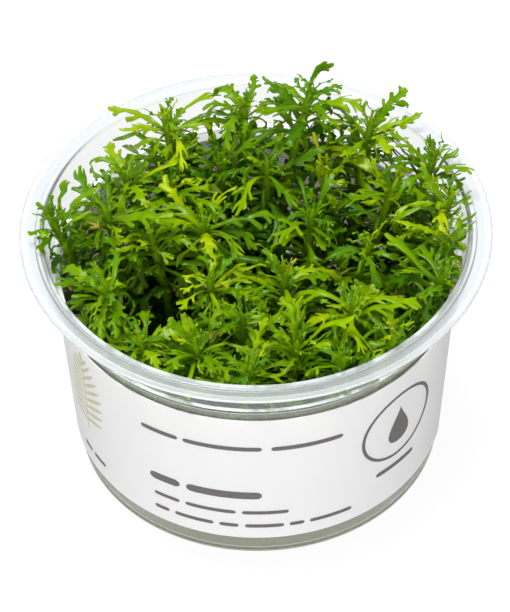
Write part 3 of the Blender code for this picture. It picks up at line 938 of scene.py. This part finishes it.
def leaf_forms():
    """A collection of leaf forms, rounded ones first and plain ones for hidden leaves after them."""
    forms = bpy.data.collections.new("leaf forms")
    kinds = [form for form in BLADES for _ in range(VARIANTS)]
    for plain in (False, True):
        for number, form in enumerate(kinds):
            cage = leaf_cage(form, random.Random(SEED + 31 * number))
            name = f"form {'plain' if plain else 'fine'} {number:02d}"
            made = bpy.data.objects.new(name, mesh_of(name, *cage))
            if not plain:
                rounding = made.modifiers.new("rounding", "SUBSURF")
                rounding.levels = rounding.render_levels = 1
            forms.objects.link(made)
    return forms


def form_number(choices, dice, hidden):
    """Which of the leaf forms a leaf takes: one of the named ones, plain where it's hidden."""
    form = list(BLADES).index(dice.choice(choices.split()))
    first_plain = len(BLADES) * VARIANTS if hidden else 0
    return first_plain + form * VARIANTS + dice.randrange(VARIANTS)


def shoot_tree():
    """Geometry Nodes that grow a shoot: a tube along the stem's path and a bent leaf on each loose point."""
    tree = bpy.data.node_groups.new("shoot", "GeometryNodeTree")
    for name, kind in (
        ("Skeleton", "NodeSocketGeometry"),
        ("Leaf forms", "NodeSocketCollection"),
        ("Flutter", "NodeSocketFloat"),
        ("Finish", "NodeSocketMaterial"),
    ):
        tree.interface.new_socket(name, in_out="INPUT", socket_type=kind)
    tree.interface.new_socket("Shoot", in_out="OUTPUT", socket_type="NodeSocketGeometry")
    given = add(tree, "NodeGroupInput").outputs
    kinds = {"root": "FLOAT_VECTOR", "form": "INT", "is_leaf": "BOOLEAN"}
    read = {
        name: add(tree, "GeometryNodeInputNamedAttribute", {"Name": name}, data_type=kinds.get(name, "FLOAT"))
        for name in (*kinds, *BENDS)
    }

    # The stem, and every leaf's own form laid at the origin.
    path = add(tree, "GeometryNodeMeshToCurve", {"Mesh": given["Skeleton"]})
    ring = add(tree, "GeometryNodeCurvePrimitiveCircle", {"Resolution": 10, "Radius": 1.0})
    stem = add(tree, "GeometryNodeCurveToMesh", {
        "Curve": path, "Profile Curve": ring, "Scale": read["thickness"], "Fill Caps": True,
    })
    forms = add(tree, "GeometryNodeCollectionInfo", {
        "Collection": given["Leaf forms"], "Separate Children": True, "Reset Children": True,
    })
    placed = add(tree, "GeometryNodeInstanceOnPoints", {
        "Points": given["Skeleton"],
        "Selection": read["is_leaf"],
        "Instance": forms,
        "Pick Instance": True,
        "Instance Index": read["form"],
    })
    flat = add(tree, "GeometryNodeRealizeInstances", {"Geometry": placed})
    place = add(tree, "GeometryNodeInputPosition")
    local = add(tree, "ShaderNodeVectorMath", {0: place, 1: read["root"]}, operation="SUBTRACT")
    parts = add(tree, "ShaderNodeSeparateXYZ", {0: local}).outputs
    kept = add(tree, "GeometryNodeStoreNamedAttribute", {
        "Geometry": flat, "Name": "along", "Value": parts["X"],
    }, data_type="FLOAT", domain="POINT")

    # The midrib's arc: a chord from the root, as long and as steep as the part of the leaf so far makes it.
    half_turn = add(tree, "ShaderNodeMath", {0: parts["X"], 1: read["half_droop"]}, operation="MULTIPLY")
    chord_sine = add(tree, "ShaderNodeMath", {0: half_turn}, operation="SINE")
    chord = add(tree, "ShaderNodeMath", {0: chord_sine, 1: read["arc"]}, operation="MULTIPLY")
    chord_pitch = add(tree, "ShaderNodeMath", {0: half_turn, 1: read["rise"]}, operation="SUBTRACT")
    pitch = add(tree, "ShaderNodeMath", {0: chord_pitch, 1: half_turn}, operation="ADD")
    midrib = add(tree, "ShaderNodeVectorRotate", {
        "Vector": add(tree, "ShaderNodeCombineXYZ", {"X": chord}), "Angle": chord_pitch,
    }, rotation_type="Y_AXIS")

    # The section across it: cupped, twisted along the leaf, pitched with the arc and turned to its heading.
    wide = add(tree, "ShaderNodeMath", {0: read["length"], 1: read["breadth"]}, operation="MULTIPLY")
    aside = add(tree, "ShaderNodeMath", {0: parts["Y"], 1: parts["Y"]}, operation="MULTIPLY")
    lifted = add(tree, "ShaderNodeMath", {
        0: aside, 1: read["cupping"], 2: parts["Z"],
    }, operation="MULTIPLY_ADD")
    section = add(tree, "ShaderNodeCombineXYZ", {
        "Y": add(tree, "ShaderNodeMath", {0: parts["Y"], 1: wide}, operation="MULTIPLY"),
        "Z": add(tree, "ShaderNodeMath", {0: lifted, 1: read["length"]}, operation="MULTIPLY"),
    })
    twist = add(tree, "ShaderNodeMath", {0: parts["X"], 1: read["twist"]}, operation="MULTIPLY")
    twisted = add(tree, "ShaderNodeVectorRotate", {"Vector": section, "Angle": twist}, rotation_type="X_AXIS")
    pitched = add(tree, "ShaderNodeVectorRotate", {"Vector": twisted, "Angle": pitch}, rotation_type="Y_AXIS")
    bent = add(tree, "ShaderNodeVectorMath", {0: midrib, 1: pitched}, operation="ADD")
    heading = add(tree, "ShaderNodeMath", {
        0: parts["X"], 1: read["half_sway"], 2: read["heading"],
    }, operation="MULTIPLY_ADD")
    turned = add(tree, "ShaderNodeVectorRotate", {"Vector": bent, "Angle": heading}, rotation_type="Z_AXIS")
    set_down = add(tree, "ShaderNodeVectorMath", {0: turned, 1: read["root"]}, operation="ADD")

    # A slow wave, different on each leaf, that grows towards the tip.
    sample = add(tree, "ShaderNodeVectorMath", {
        0: read["root"], 1: WAVE_APART, 2: local,
    }, operation="MULTIPLY_ADD")
    wave = add(tree, "ShaderNodeTexNoise", {"Vector": sample, "Scale": WAVES_PER_LEAF, "Detail": 1.0})
    centred = add(tree, "ShaderNodeVectorMath", {
        0: wave.outputs["Color"], 1: (0.5, 0.5, 0.5),
    }, operation="SUBTRACT")
    reach = add(tree, "ShaderNodeMath", {0: parts["X"], 1: given["Flutter"]}, operation="MULTIPLY")
    shake = add(tree, "ShaderNodeVectorMath", {0: centred, "Scale": reach}, operation="SCALE")
    leaves = add(tree, "GeometryNodeSetPosition", {"Geometry": kept, "Position": set_down, "Offset": shake})

    whole = add(tree, "GeometryNodeJoinGeometry", {"Geometry": leaves})
    tree.links.new(stem.outputs[0], whole.inputs["Geometry"])
    smooth = add(tree, "GeometryNodeSetShadeSmooth", {"Geometry": whole, "Shade Smooth": True})
    solid = add(tree, "GeometryNodeRealizeInstances", {"Geometry": smooth})
    dressed = add(tree, "GeometryNodeSetMaterial", {"Geometry": solid, "Material": given["Finish"]})
    add(tree, "NodeGroupOutput", {"Shoot": dressed})
    return tree


def skeleton(index, leaves):
    """The stem's path as edges and each leaf as a loose point that carries its sizes."""
    dice = random.Random(SEED * 7 + index)
    hue = dice.uniform(-SHOOT_DIFFERS, SHOOT_DIFFERS)
    points, forms, flags = [], [], []
    columns = {name: [] for name in (*BENDS, *COLOURINGS)}

    def put(point, form, is_leaf, **values):
        """Adds one point with its sizes, none where they aren't given."""
        points.append(point * MM)
        forms.append(form)
        flags.append(is_leaf)
        for name in columns:
            columns[name].append(values.get(name, 0.0))

    for step in range(STEM_STEPS + 1):
        share = step / STEM_STEPS
        radius = STEM_RADIUS * (FOOT_SWELL - STEM_TAPER * share) * STEM_SHARE
        put(stem_axis(index, share)[0], 0, False, thickness=radius * MM, tint=STEM_TINT + hue)
    crown, ahead = stem_axis(index, 1.0)
    for share, width in BUD_WIDTHS:
        radius = width * STEM_RADIUS * BUD_SHARE
        put(crown + ahead * BUD_HEIGHT * share, 0, False, thickness=radius * MM, tint=BUD_TINT + hue)
    edges = [(k, k + 1) for k in range(len(points) - 1)]
    for leaf, depth, choices in leaves:
        hidden = depth > HIDDEN_DEPTH
        bloom = max(0.0, dice.uniform(*(YOUNG_BLOOM if "young" in choices else OTHER_BLOOM)))
        # Painted shade: the deeper a leaf sits under the foliage, the darker its tint.
        tint = LEAF_TINT - PAINTED_SHADE_PER_MM * max(0.0, depth) + hue + dice.uniform(*LEAF_DIFFERS)
        straw = dice.uniform(*STRAW_STAGE) if dice.random() < STRAW_SHARE else 0.0
        put(
            leaf.root,
            form_number(choices, dice, hidden),
            True,
            heading=leaf.azimuth,
            rise=leaf.rise,
            half_droop=leaf.droop / 2.0,
            half_sway=leaf.sway / 2.0,
            arc=2.0 * leaf.length * MM / leaf.droop,
            length=leaf.length * MM,
            twist=leaf.twist,
            breadth=dice.uniform(*BREADTH) * (HIDDEN_BREADTH if hidden else 1.0),
            cupping=dice.uniform(*CUPPING),
            tint=tint,
            bloom=bloom,
            straw=straw,
        )
    mesh = bpy.data.meshes.new(f"skeleton {index + 1:02d}")
    mesh.from_pydata(points, edges, [])
    for name, values in columns.items():
        mesh.attributes.new(name, "FLOAT", "POINT").data.foreach_set("value", values)
    mesh.attributes.new("form", "INT", "POINT").data.foreach_set("value", forms)
    mesh.attributes.new("is_leaf", "BOOLEAN", "POINT").data.foreach_set("value", flags)
    root = mesh.attributes.new("root", "FLOAT_VECTOR", "POINT")
    root.data.foreach_set("vector", [value for point in points for value in point])
    return mesh


def grown_shoot(index, leaves, tree, forms, green):
    """One shoot as a plain mesh, its leaves pressed flat where they meet the cup's wall."""
    name = f"plant_{index + 1:02d}"
    source = bpy.data.objects.new("skeleton", skeleton(index, leaves))
    bpy.context.scene.collection.objects.link(source)
    grower = source.modifiers.new("shoot", "NODES")
    grower.node_group = tree
    for socket, value in (("Leaf forms", forms), ("Flutter", FLUTTER), ("Finish", green)):
        grower[tree.interface.items_tree[socket].identifier] = value
    depsgraph = bpy.context.evaluated_depsgraph_get()
    mesh = bpy.data.meshes.new_from_object(source.evaluated_get(depsgraph))
    bpy.data.objects.remove(source)
    for vertex in mesh.vertices:
        radius, room = math.hypot(vertex.co.x, vertex.co.y), pressed_radius(vertex.co.z / MM) * MM
        if radius > room:
            vertex.co.xy *= room / radius
        vertex.co.z = min(vertex.co.z, HIGHEST_TIP * MM)
    mesh.name = name
    made = bpy.data.objects.new(name, mesh)
    bpy.context.scene.collection.objects.link(made)
    return made


# The print on the band.


class Print:
    """Thin closed strips of ink laid on the band's outer face."""

    def __init__(self):
        self.points, self.faces = [], []

    def strip(self, pairs, closed=False):
        """A strip through pairs of places, each an angle in degrees and a height."""
        first = len(self.points)
        for low, high in pairs:
            for place in (low, high):
                self.points.append(on_band(*place, BAND_THICKNESS + PRINT_SEAT))
                self.points.append(on_band(*place, BAND_THICKNESS + PRINT_LIFT))
        count = len(pairs)
        for k in range(count if closed else count - 1):
            a, b = first + 4 * k, first + 4 * ((k + 1) % count)
            self.faces += [(a + 1, b + 1, b + 3, a + 3), (a, a + 2, b + 2, b)]
            self.faces += [(a, b, b + 1, a + 1), (a + 2, a + 3, b + 3, b + 2)]
        if not closed:
            last = first + 4 * (count - 1)
            self.faces += [(first, first + 1, first + 3, first + 2), (last, last + 2, last + 3, last + 1)]

    def rule(self, height, thickness, ends):
        """A level bar with round ends."""
        degree = math.radians(1.0) * wall_radius(height)
        half = thickness / 2.0
        length = (ends[1] - ends[0]) * degree
        steps = max(8, int(length / INK_STEP))
        pairs = []
        for k in range(steps + 1):
            along = length * 0.5 * (1.0 - math.cos(math.pi * k / steps))
            inset = half - min(along, length - along, half)
            rise = math.sqrt(max(0.0, half * half - inset * inset)) + 0.01
            turn = ends[0] + along / degree
            pairs.append(((turn, height - rise), (turn, height + rise)))
        self.strip(pairs)

    def shape(self, centre, outline_low, outline_high):
        """A filled form between two outlines, given as millimetres across and up from its centre."""
        degree = math.radians(1.0) * wall_radius(centre[1])
        widest = max(abs(high[0] - low[0]) for low, high in zip(outline_low, outline_high))
        columns = max(1, math.ceil(widest / INK_STEP))
        for column in range(columns):
            pairs = []
            for low, high in zip(outline_low, outline_high):
                ends = [Vector(low).lerp(Vector(high), edge / columns) for edge in (column, column + 1)]
                pairs.append([(centre[0] + end.x / degree, centre[1] + end.y) for end in ends])
            self.strip(pairs)

    def ring(self, centre, radius, line):
        """A round line, closed on itself."""
        degree = math.radians(1.0) * wall_radius(centre[1])
        pairs = []
        for k in range(SIGN_STEPS):
            turn = FULL_TURN * k / SIGN_STEPS
            pairs.append(tuple(
                (centre[0] + r * math.cos(turn) / degree, centre[1] + r * math.sin(turn))
                for r in (radius - line, radius)
            ))
        self.strip(pairs, closed=True)

    def blade(self, centre, foot, slant, length, width):
        """A pointed oval leaf from its foot."""
        low, high = [], []
        along = Vector((math.cos(slant), math.sin(slant)))
        across = Vector((-along.y, along.x))
        for k in range(BLADE_STEPS + 1):
            t = k / BLADE_STEPS
            half = width / 2.0 * math.sin(math.pi * t) ** 0.8 + 0.01
            middle = Vector(foot) + along * length * t
            low.append(middle - across * half)
            high.append(middle + across * half)
        self.shape(centre, low, high)


def rules_print():
    """The grey print: lines of level rules, and a sign that is a ring with a drop in it."""
    ink = Print()
    for height, thickness, runs in (UPPER_LINE, HEAVY_LINE, *NOTE_LINES, SIGN_NOTE, SIDE_NOTE):
        for ends in runs:
            ink.rule(height, thickness, ends)
    ink.ring(SIGN_CENTRE, SIGN_RADIUS, SIGN_LINE)
    left, right = [], []
    for turn in (math.pi * k / DROP_STEPS for k in range(DROP_STEPS + 1)):
        half = DROP_WIDTH * math.sin(turn) * math.sin(turn / 2.0) ** 1.8 + 0.01
        left.append((-half, DROP_HEIGHT / 2.0 * math.cos(turn)))
        right.append((half, DROP_HEIGHT / 2.0 * math.cos(turn)))
    ink.shape(SIGN_CENTRE, left, right)
    return ink


def sprig_print():
    """A leafy sprig: a bent stem with pairs of slim leaves, longest a third of the way up."""
    ink = Print()
    steps = 2 * SPRIG_PAIRS + 2
    stem = [Vector((0.9 * math.sin(1.6 * k / steps), SPRIG_HEIGHT * k / steps)) for k in range(steps + 1)]
    half = Vector((0.14, 0.0))
    ink.shape(SPRIG_FOOT, [point - half for point in stem], [point + half for point in stem])
    for pair in range(SPRIG_PAIRS):
        up = pair / SPRIG_PAIRS
        length = 6.4 * (0.5 + 1.6 * up) * (1.0 - up) + 1.6
        for side in (-1, 1):
            slant = math.pi / 2 - side * math.radians(70.0 - 40.0 * up)
            ink.blade(SPRIG_FOOT, stem[2 * pair + 2 + (side > 0)], slant, length, 0.75 - 0.2 * up)
    ink.blade(SPRIG_FOOT, stem[-1], math.pi / 2, 2.2, 0.7)
    return ink


# Materials.


def new_material(name):
    """A material with its tree, its surface shader and its output."""
    made = bpy.data.materials.new(name)
    made.use_nodes = True
    tree = made.node_tree
    return made, tree, tree.nodes["Principled BSDF"], tree.nodes["Material Output"]


def mirror_ray(tree):
    """One for light that mirrors off a surface, none for light that passes through clear plastic or gel."""
    path = add(tree, "ShaderNodeLightPath").outputs
    return add(tree, "ShaderNodeMath", {
        0: path["Is Glossy Ray"], 1: path["Is Transmission Ray"],
    }, operation="GREATER_THAN")


def clear_polypropylene(name, code, clearness, roughness):
    """Thermoformed polypropylene sheet: clear with a slight milkiness, and faint waves from the draw.

    Its own shadow is left out, since a sheet as thin as this one hardly dims what lies behind it.
    """
    made, tree, plastic, output = new_material(name)
    plastic.inputs["Base Color"].default_value = srgb(code)
    plastic.inputs["Roughness"].default_value = roughness
    plastic.inputs["IOR"].default_value = 1.49
    plastic.inputs["Transmission Weight"].default_value = clearness
    coords = add(tree, "ShaderNodeTexCoord").outputs["Object"]
    waves = add(tree, "ShaderNodeTexNoise", {"Vector": coords, "Scale": WAVES_PER_MM / MM, "Detail": 1.0})
    bump = add(tree, "ShaderNodeBump", {"Height": waves, "Strength": 0.05, "Distance": WAVE_DEPTH * MM})
    tree.links.new(bump.outputs[0], plastic.inputs["Normal"])
    path = add(tree, "ShaderNodeLightPath").outputs
    passing = add(tree, "ShaderNodeMath", {
        0: path["Is Shadow Ray"], 1: path["Is Diffuse Ray"],
    }, operation="MAXIMUM")
    clear = add(tree, "ShaderNodeBsdfTransparent", {"Color": srgb("#F0F4F3")})
    mixed = add(tree, "ShaderNodeMixShader", {0: passing, 1: plastic, 2: clear})
    tree.links.new(mixed.outputs[0], output.inputs["Surface"])
    return made


def coated_paper():
    """Coated label paper, calendered: even satin white with the faintest mottle of its fibres.

    Thin enough for light to pass, so its back isn't black behind the plants.
    """
    made, tree, paper, output = new_material("coated paper")
    coords = add(tree, "ShaderNodeTexCoord").outputs["Object"]
    fibres = add(tree, "ShaderNodeTexNoise", {"Vector": coords, "Scale": FIBRES_PER_MM / MM, "Detail": 3.0})
    white = add(tree, "ShaderNodeMix", {
        0: fibres, 6: srgb("#EFEFF1"), 7: srgb("#F4F4F6"),
    }, data_type="RGBA").outputs[2]
    tree.links.new(white, paper.inputs["Base Color"])
    paper.inputs["Roughness"].default_value = 0.5
    bump = add(tree, "ShaderNodeBump", {"Height": fibres, "Strength": 0.12, "Distance": FIBRE_DEPTH * MM})
    tree.links.new(bump.outputs[0], paper.inputs["Normal"])
    through = add(tree, "ShaderNodeBsdfTranslucent", {"Color": srgb("#FDFAF3")})
    mixed = add(tree, "ShaderNodeMixShader", {0: PAPER_PASSES, 1: paper, 2: through})
    tree.links.new(mixed.outputs[0], output.inputs["Surface"])
    return made


def printing_ink(name, code):
    """Offset ink on coated paper: a flat matt tone, a little uneven where the paper took less of it."""
    made, tree, ink, _ = new_material(name)
    coords = add(tree, "ShaderNodeTexCoord").outputs["Object"]
    take = add(tree, "ShaderNodeTexNoise", {"Vector": coords, "Scale": INK_SPOTS_PER_MM / MM, "Detail": 2.0})
    full = srgb(code)
    worn = tuple(min(1.0, channel * 1.25 + 0.01) for channel in full)
    tone = add(tree, "ShaderNodeMix", {0: take, 6: full, 7: worn}, data_type="RGBA").outputs[2]
    tree.links.new(tone, ink.inputs["Base Color"])
    ink.inputs["Roughness"].default_value = 0.55
    return made


def agar_gel():
    """Poured agar medium: soft, wet and cloudy, grey with a breath of green, with small cloudy patches."""
    made, tree, gel, _ = new_material("agar gel")
    coords = add(tree, "ShaderNodeTexCoord").outputs["Object"]
    clouds = add(tree, "ShaderNodeTexNoise", {"Vector": coords, "Scale": CLOUDS_PER_MM / MM, "Detail": 4.0})
    tone = add(tree, "ShaderNodeMix", {
        0: clouds, 6: srgb("#736F58"), 7: srgb("#85816A"),
    }, data_type="RGBA").outputs[2]
    tree.links.new(tone, gel.inputs["Base Color"])
    gel.inputs["Roughness"].default_value = 0.2
    gel.inputs["IOR"].default_value = 1.34
    gel.inputs["Transmission Weight"].default_value = 0.12
    return made


def living_leaf():
    """Leaves and stems grown in damp air: thin waxy green that light passes through.

    The tint runs from old shaded leaves to fresh ones and carries the painted shade of deep leaves, young
    crowns have a blue bloom, stalks are paler and tips yellower, and a few old leaves have turned
    straw-coloured from the tip. The mottle is patches of cells and the relief is fine veining.
    """
    made, tree, leaf, output = new_material("living leaf")
    tint, bloom, straw, along = (
        add(tree, "ShaderNodeAttribute", attribute_name=name).outputs["Fac"]
        for name in (*COLOURINGS, "along")
    )
    coords = add(tree, "ShaderNodeTexCoord").outputs["Object"]
    patches = add(tree, "ShaderNodeTexNoise", {
        "Vector": coords, "Scale": LEAF_PATCHES_PER_MM / MM, "Detail": 3.0,
    })
    uneven = add(tree, "ShaderNodeMath", {
        0: patches, 1: LEAF_MOTTLE, 2: -LEAF_MOTTLE / 2.0,
    }, operation="MULTIPLY_ADD")
    age = add(tree, "ShaderNodeMath", {0: tint, 1: uneven}, operation="ADD")
    greens = add(tree, "ShaderNodeValToRGB", {"Fac": age})
    ramp = greens.color_ramp
    ramp.elements[0].position = 0.0
    ramp.elements[0].color = srgb("#254C00")
    ramp.elements[1].position = 1.0
    ramp.elements[1].color = srgb("#C6D600")
    for place, code in ((0.3, "#407400"), (0.55, "#669600"), (0.8, "#92B800")):
        ramp.elements.new(place).color = srgb(code)

    stalk = add(tree, "ShaderNodeMapRange", {
        "Value": along, "From Min": 0.42, "From Max": 0.05, "To Min": 0.0, "To Max": 0.5,
    }, interpolation_type="SMOOTHSTEP")
    tip = add(tree, "ShaderNodeMapRange", {
        "Value": along, "From Min": 0.82, "From Max": 1.02, "To Min": 0.0, "To Max": 0.45,
    })
    spread = add(tree, "ShaderNodeMapRange", {"Value": along, "From Min": 0.35, "From Max": 0.95})
    faded = add(tree, "ShaderNodeMath", {0: straw, 1: spread}, operation="MULTIPLY")
    colour = greens.outputs[0]
    for share, code in ((bloom, "#4E8E20"), (stalk, "#8DB41A"), (tip, "#AFC80E"), (faded, "#C8B84E")):
        colour = add(tree, "ShaderNodeMix", {0: share, 6: colour, 7: srgb(code)}, data_type="RGBA").outputs[2]
    tree.links.new(colour, leaf.inputs["Base Color"])
    leaf.inputs["Roughness"].default_value = 0.28
    leaf.inputs["Specular IOR Level"].default_value = 0.3
    leaf.inputs["IOR"].default_value = 1.42
    veins = add(tree, "ShaderNodeTexNoise", {"Vector": coords, "Scale": VEINS_PER_MM / MM, "Detail": 2.0})
    bump = add(tree, "ShaderNodeBump", {"Height": veins, "Strength": 0.35, "Distance": VEIN_DEPTH * MM})
    tree.links.new(bump.outputs[0], leaf.inputs["Normal"])
    warm = add(tree, "ShaderNodeMix", {0: 0.35, 6: colour, 7: srgb("#C4DC00")}, data_type="RGBA").outputs[2]
    through = add(tree, "ShaderNodeBsdfTranslucent", {"Color": warm})
    mixed = add(tree, "ShaderNodeMixShader", {0: LEAF_PASSES, 1: leaf, 2: through})
    tree.links.new(mixed.outputs[0], output.inputs["Surface"])
    return made


def opal_acrylic():
    """A sheet of opal acrylic lit from below, so that nothing on it casts a shadow."""
    made, tree, sheet, _ = new_material("opal acrylic")
    coords = add(tree, "ShaderNodeTexCoord").outputs["Object"]
    grain = add(tree, "ShaderNodeTexNoise", {"Vector": coords, "Scale": GRAINS_PER_MM / MM, "Detail": 2.0})
    white = add(tree, "ShaderNodeMix", {
        0: grain, 6: srgb("#3C3C3C"), 7: srgb("#424242"),
    }, data_type="RGBA").outputs[2]
    tree.links.new(white, sheet.inputs["Base Color"])
    sheet.inputs["Roughness"].default_value = 0.8
    sheet.inputs["Emission Color"].default_value = (1.0, 1.0, 1.0, 1.0)
    glow = add(tree, "ShaderNodeMath", {
        0: mirror_ray(tree), 1: FLOOR_SHEEN - FLOOR_GLOW, 2: FLOOR_GLOW,
    }, operation="MULTIPLY_ADD")
    tree.links.new(glow.outputs[0], sheet.inputs["Emission Strength"])
    return made


# Putting it together.


def finished(made, slot, finish, *nodes):
    """Dresses a piece that stands for the named nodes."""
    if finish:
        made.data.materials.clear()
        made.data.materials.append(finish)
    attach(made, "root")
    if nodes:
        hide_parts(*nodes)
    return made


def piece(name, points, faces, crease=None):
    """A smooth piece from points in millimetres, its edges sharp from the crease angle on."""
    mesh = mesh_of(name, points, faces, MM)
    if crease:
        mesh.set_sharp_from_angle(angle=math.radians(crease))
    made = bpy.data.objects.new(name, mesh)
    bpy.context.scene.collection.objects.link(made)
    return made


def cup_finish(centre):
    """Which of the clear plastic's finishes a face of the cup has, from its centre in millimetres.

    The foot and the ledge take in the eased corners beside them.
    """
    # The ledge's milky white is a painted highlight line.
    if SHOULDER_HEIGHT - 0.1 < centre.z < SHOULDER_HEIGHT + 0.15 + WALL:
        return "shoulder ledge painted highlight"
    # The milky wall under the ledge is painted light for the lit leaves seen through it.
    if BAND_HIGH - 0.6 < centre.z < SHOULDER_HEIGHT:
        return "wall under the ledge painted light"
    # The foot's grey-beige is the gel's tone seen through it, painted in.
    if centre.z < HEEL_HEIGHT + 0.15:
        return "foot painted gel tone"
    if centre.z <= CUP_HEIGHT - FLANGE_THICKNESS - 0.05:
        return "drawn wall"
    radius = math.hypot(centre.x, centre.y)
    if radius > GROOVE_OUTER:
        return "thick edge"
    return "flange groove" if radius > GROOVE_INNER - GROOVE_SLOPE else "flange seat"


def build_cup():
    """The cup, each zone of its faces in its own finish of the plastic."""
    section = rounded(cup_profile(), CORNER_RADIUS)
    cup = piece("cup", *turned_solid(section, SMOOTH_FACETS), crease=60.0)
    finishes = [clear_polypropylene(name, *sizes) for name, sizes in PLASTICS.items()]
    finished(cup, "clear_polypropylene", finishes[0], "tub")
    for finish in finishes[1:]:
        cup.data.materials.append(finish)
    numbers = {name: number for number, name in enumerate(PLASTICS)}
    for face in cup.data.polygons:
        face.material_index = numbers[cup_finish(face.center / MM)]


def build_band_and_gel():
    """The paper band with its two prints, and the gel."""
    band = piece("band", *band_solid(), crease=60.0)
    finished(band, "label_paper", coated_paper(), "label")
    gel = piece("gel_pad", *turned_solid(rounded(gel_profile(), GEL_ROUNDING), SMOOTH_FACETS))
    finished(gel, "nutrient_gel", agar_gel(), "gel")
    for name, ink, tone, code in (
        ("grey_print", rules_print(), "grey ink", "#565252"),
        ("sprig_print", sprig_print(), "olive ink", "#AAAC85"),
    ):
        made = piece(name, ink.points, ink.faces, crease=40.0)
        finished(made, "label_paper", printing_ink(tone, code))


def build_plants():
    """The shoots: stems and main leaves as in the solids, then the finer leaves wherever they fit."""
    stems = [Obstacle(*stem_solid(index, CLEARANCE), index) for index in range(len(SHOOTS))]
    obstacles = [Obstacle(*turned_solid(cup_profile())), *stems]
    leaves = [
        (leaf, WHORLS[leaf.whorl][0], MAIN_FORMS[SHOOTS[leaf.shoot][2]])
        for leaf in grow_leaves(obstacles)
    ]
    leaves += grow_rings(obstacles[1:])
    forms = leaf_forms()
    tree = shoot_tree()
    green = living_leaf()
    for index in range(len(SHOOTS)):
        own = [entry for entry in leaves if entry[0].shoot == index]
        made = grown_shoot(index, own, tree, forms, green)
        finished(made, "shoot_green", None, f"shoot_{index + 1:02d}")
    for form in list(forms.objects):
        bpy.data.objects.remove(form)
    bpy.data.collections.remove(forms)
    bpy.data.node_groups.remove(tree)


def set_camera():
    """The photograph's view: from the front, 46 degrees above level, with a long lens."""
    angle = math.radians(CAMERA_HEIGHT_ANGLE)
    camera = bpy.data.cameras.new("camera")
    camera.sensor_fit = "VERTICAL"
    camera.sensor_height = SENSOR_HEIGHT
    camera.lens = FOCAL_PIXELS / IMAGE_HEIGHT * SENSOR_HEIGHT
    camera.clip_start = 0.05
    made = bpy.data.objects.new("camera", camera)
    bpy.context.scene.collection.objects.link(made)
    target = Vector(CAMERA_TARGET)
    place = target + Vector((0.0, -math.cos(angle), math.sin(angle))) * CAMERA_DISTANCE
    view = Matrix.Translation(place * MM) @ Matrix.Rotation(math.radians(90.0) - angle, 4, "X")
    made.matrix_world = view @ Matrix.Rotation(math.radians(CAMERA_ROLL), 4, "Z")
    bpy.context.scene.camera = made


def set_lights():
    """A white surround, dimmer as a light than as a backdrop, one softbox overhead and a weak fill."""
    world = bpy.data.worlds.new("white room")
    world.use_nodes = True
    tree = world.node_tree
    path = add(tree, "ShaderNodeLightPath").outputs
    lit = add(tree, "ShaderNodeMath", {
        0: path["Is Diffuse Ray"], 1: ROOM_LIGHT - 1.0, 2: 1.0,
    }, operation="MULTIPLY_ADD")
    strength = add(tree, "ShaderNodeMath", {
        0: mirror_ray(tree), 1: ROOM_SHEEN - 1.0, 2: lit,
    }, operation="MULTIPLY_ADD")
    tree.links.new(strength.outputs[0], tree.nodes["Background"].inputs["Strength"])
    tree.nodes["Background"].inputs["Color"].default_value = (1.0, 1.0, 1.0, 1.0)
    bpy.context.scene.world = world
    for name, (place, width, power) in LAMPS.items():
        lamp = bpy.data.lights.new(name, "AREA")
        lamp.size = width
        lamp.energy = power
        made = bpy.data.objects.new(name, lamp)
        made.location = place
        toward = Vector(LAMP_TARGET) - Vector(place)
        made.rotation_euler = toward.to_track_quat("-Z", "Y").to_euler()
        bpy.context.scene.collection.objects.link(made)


def build_stage():
    """The lit sheet that the cup stands on, just under its foot."""
    signs = ((-1, -1), (1, -1), (1, 1), (-1, 1))
    corners = [Vector((x * FLOOR_HALF, y * FLOOR_HALF, -FLOOR_DROP)) for x, y in signs]
    floor = piece("studio_floor", corners, [(0, 1, 2, 3)])
    floor.data.materials.append(opal_acrylic())


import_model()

build_cup()
build_band_and_gel()
build_plants()
set_camera()
set_lights()
build_stage()
bpy.context.scene.view_settings.view_transform = "Standard"
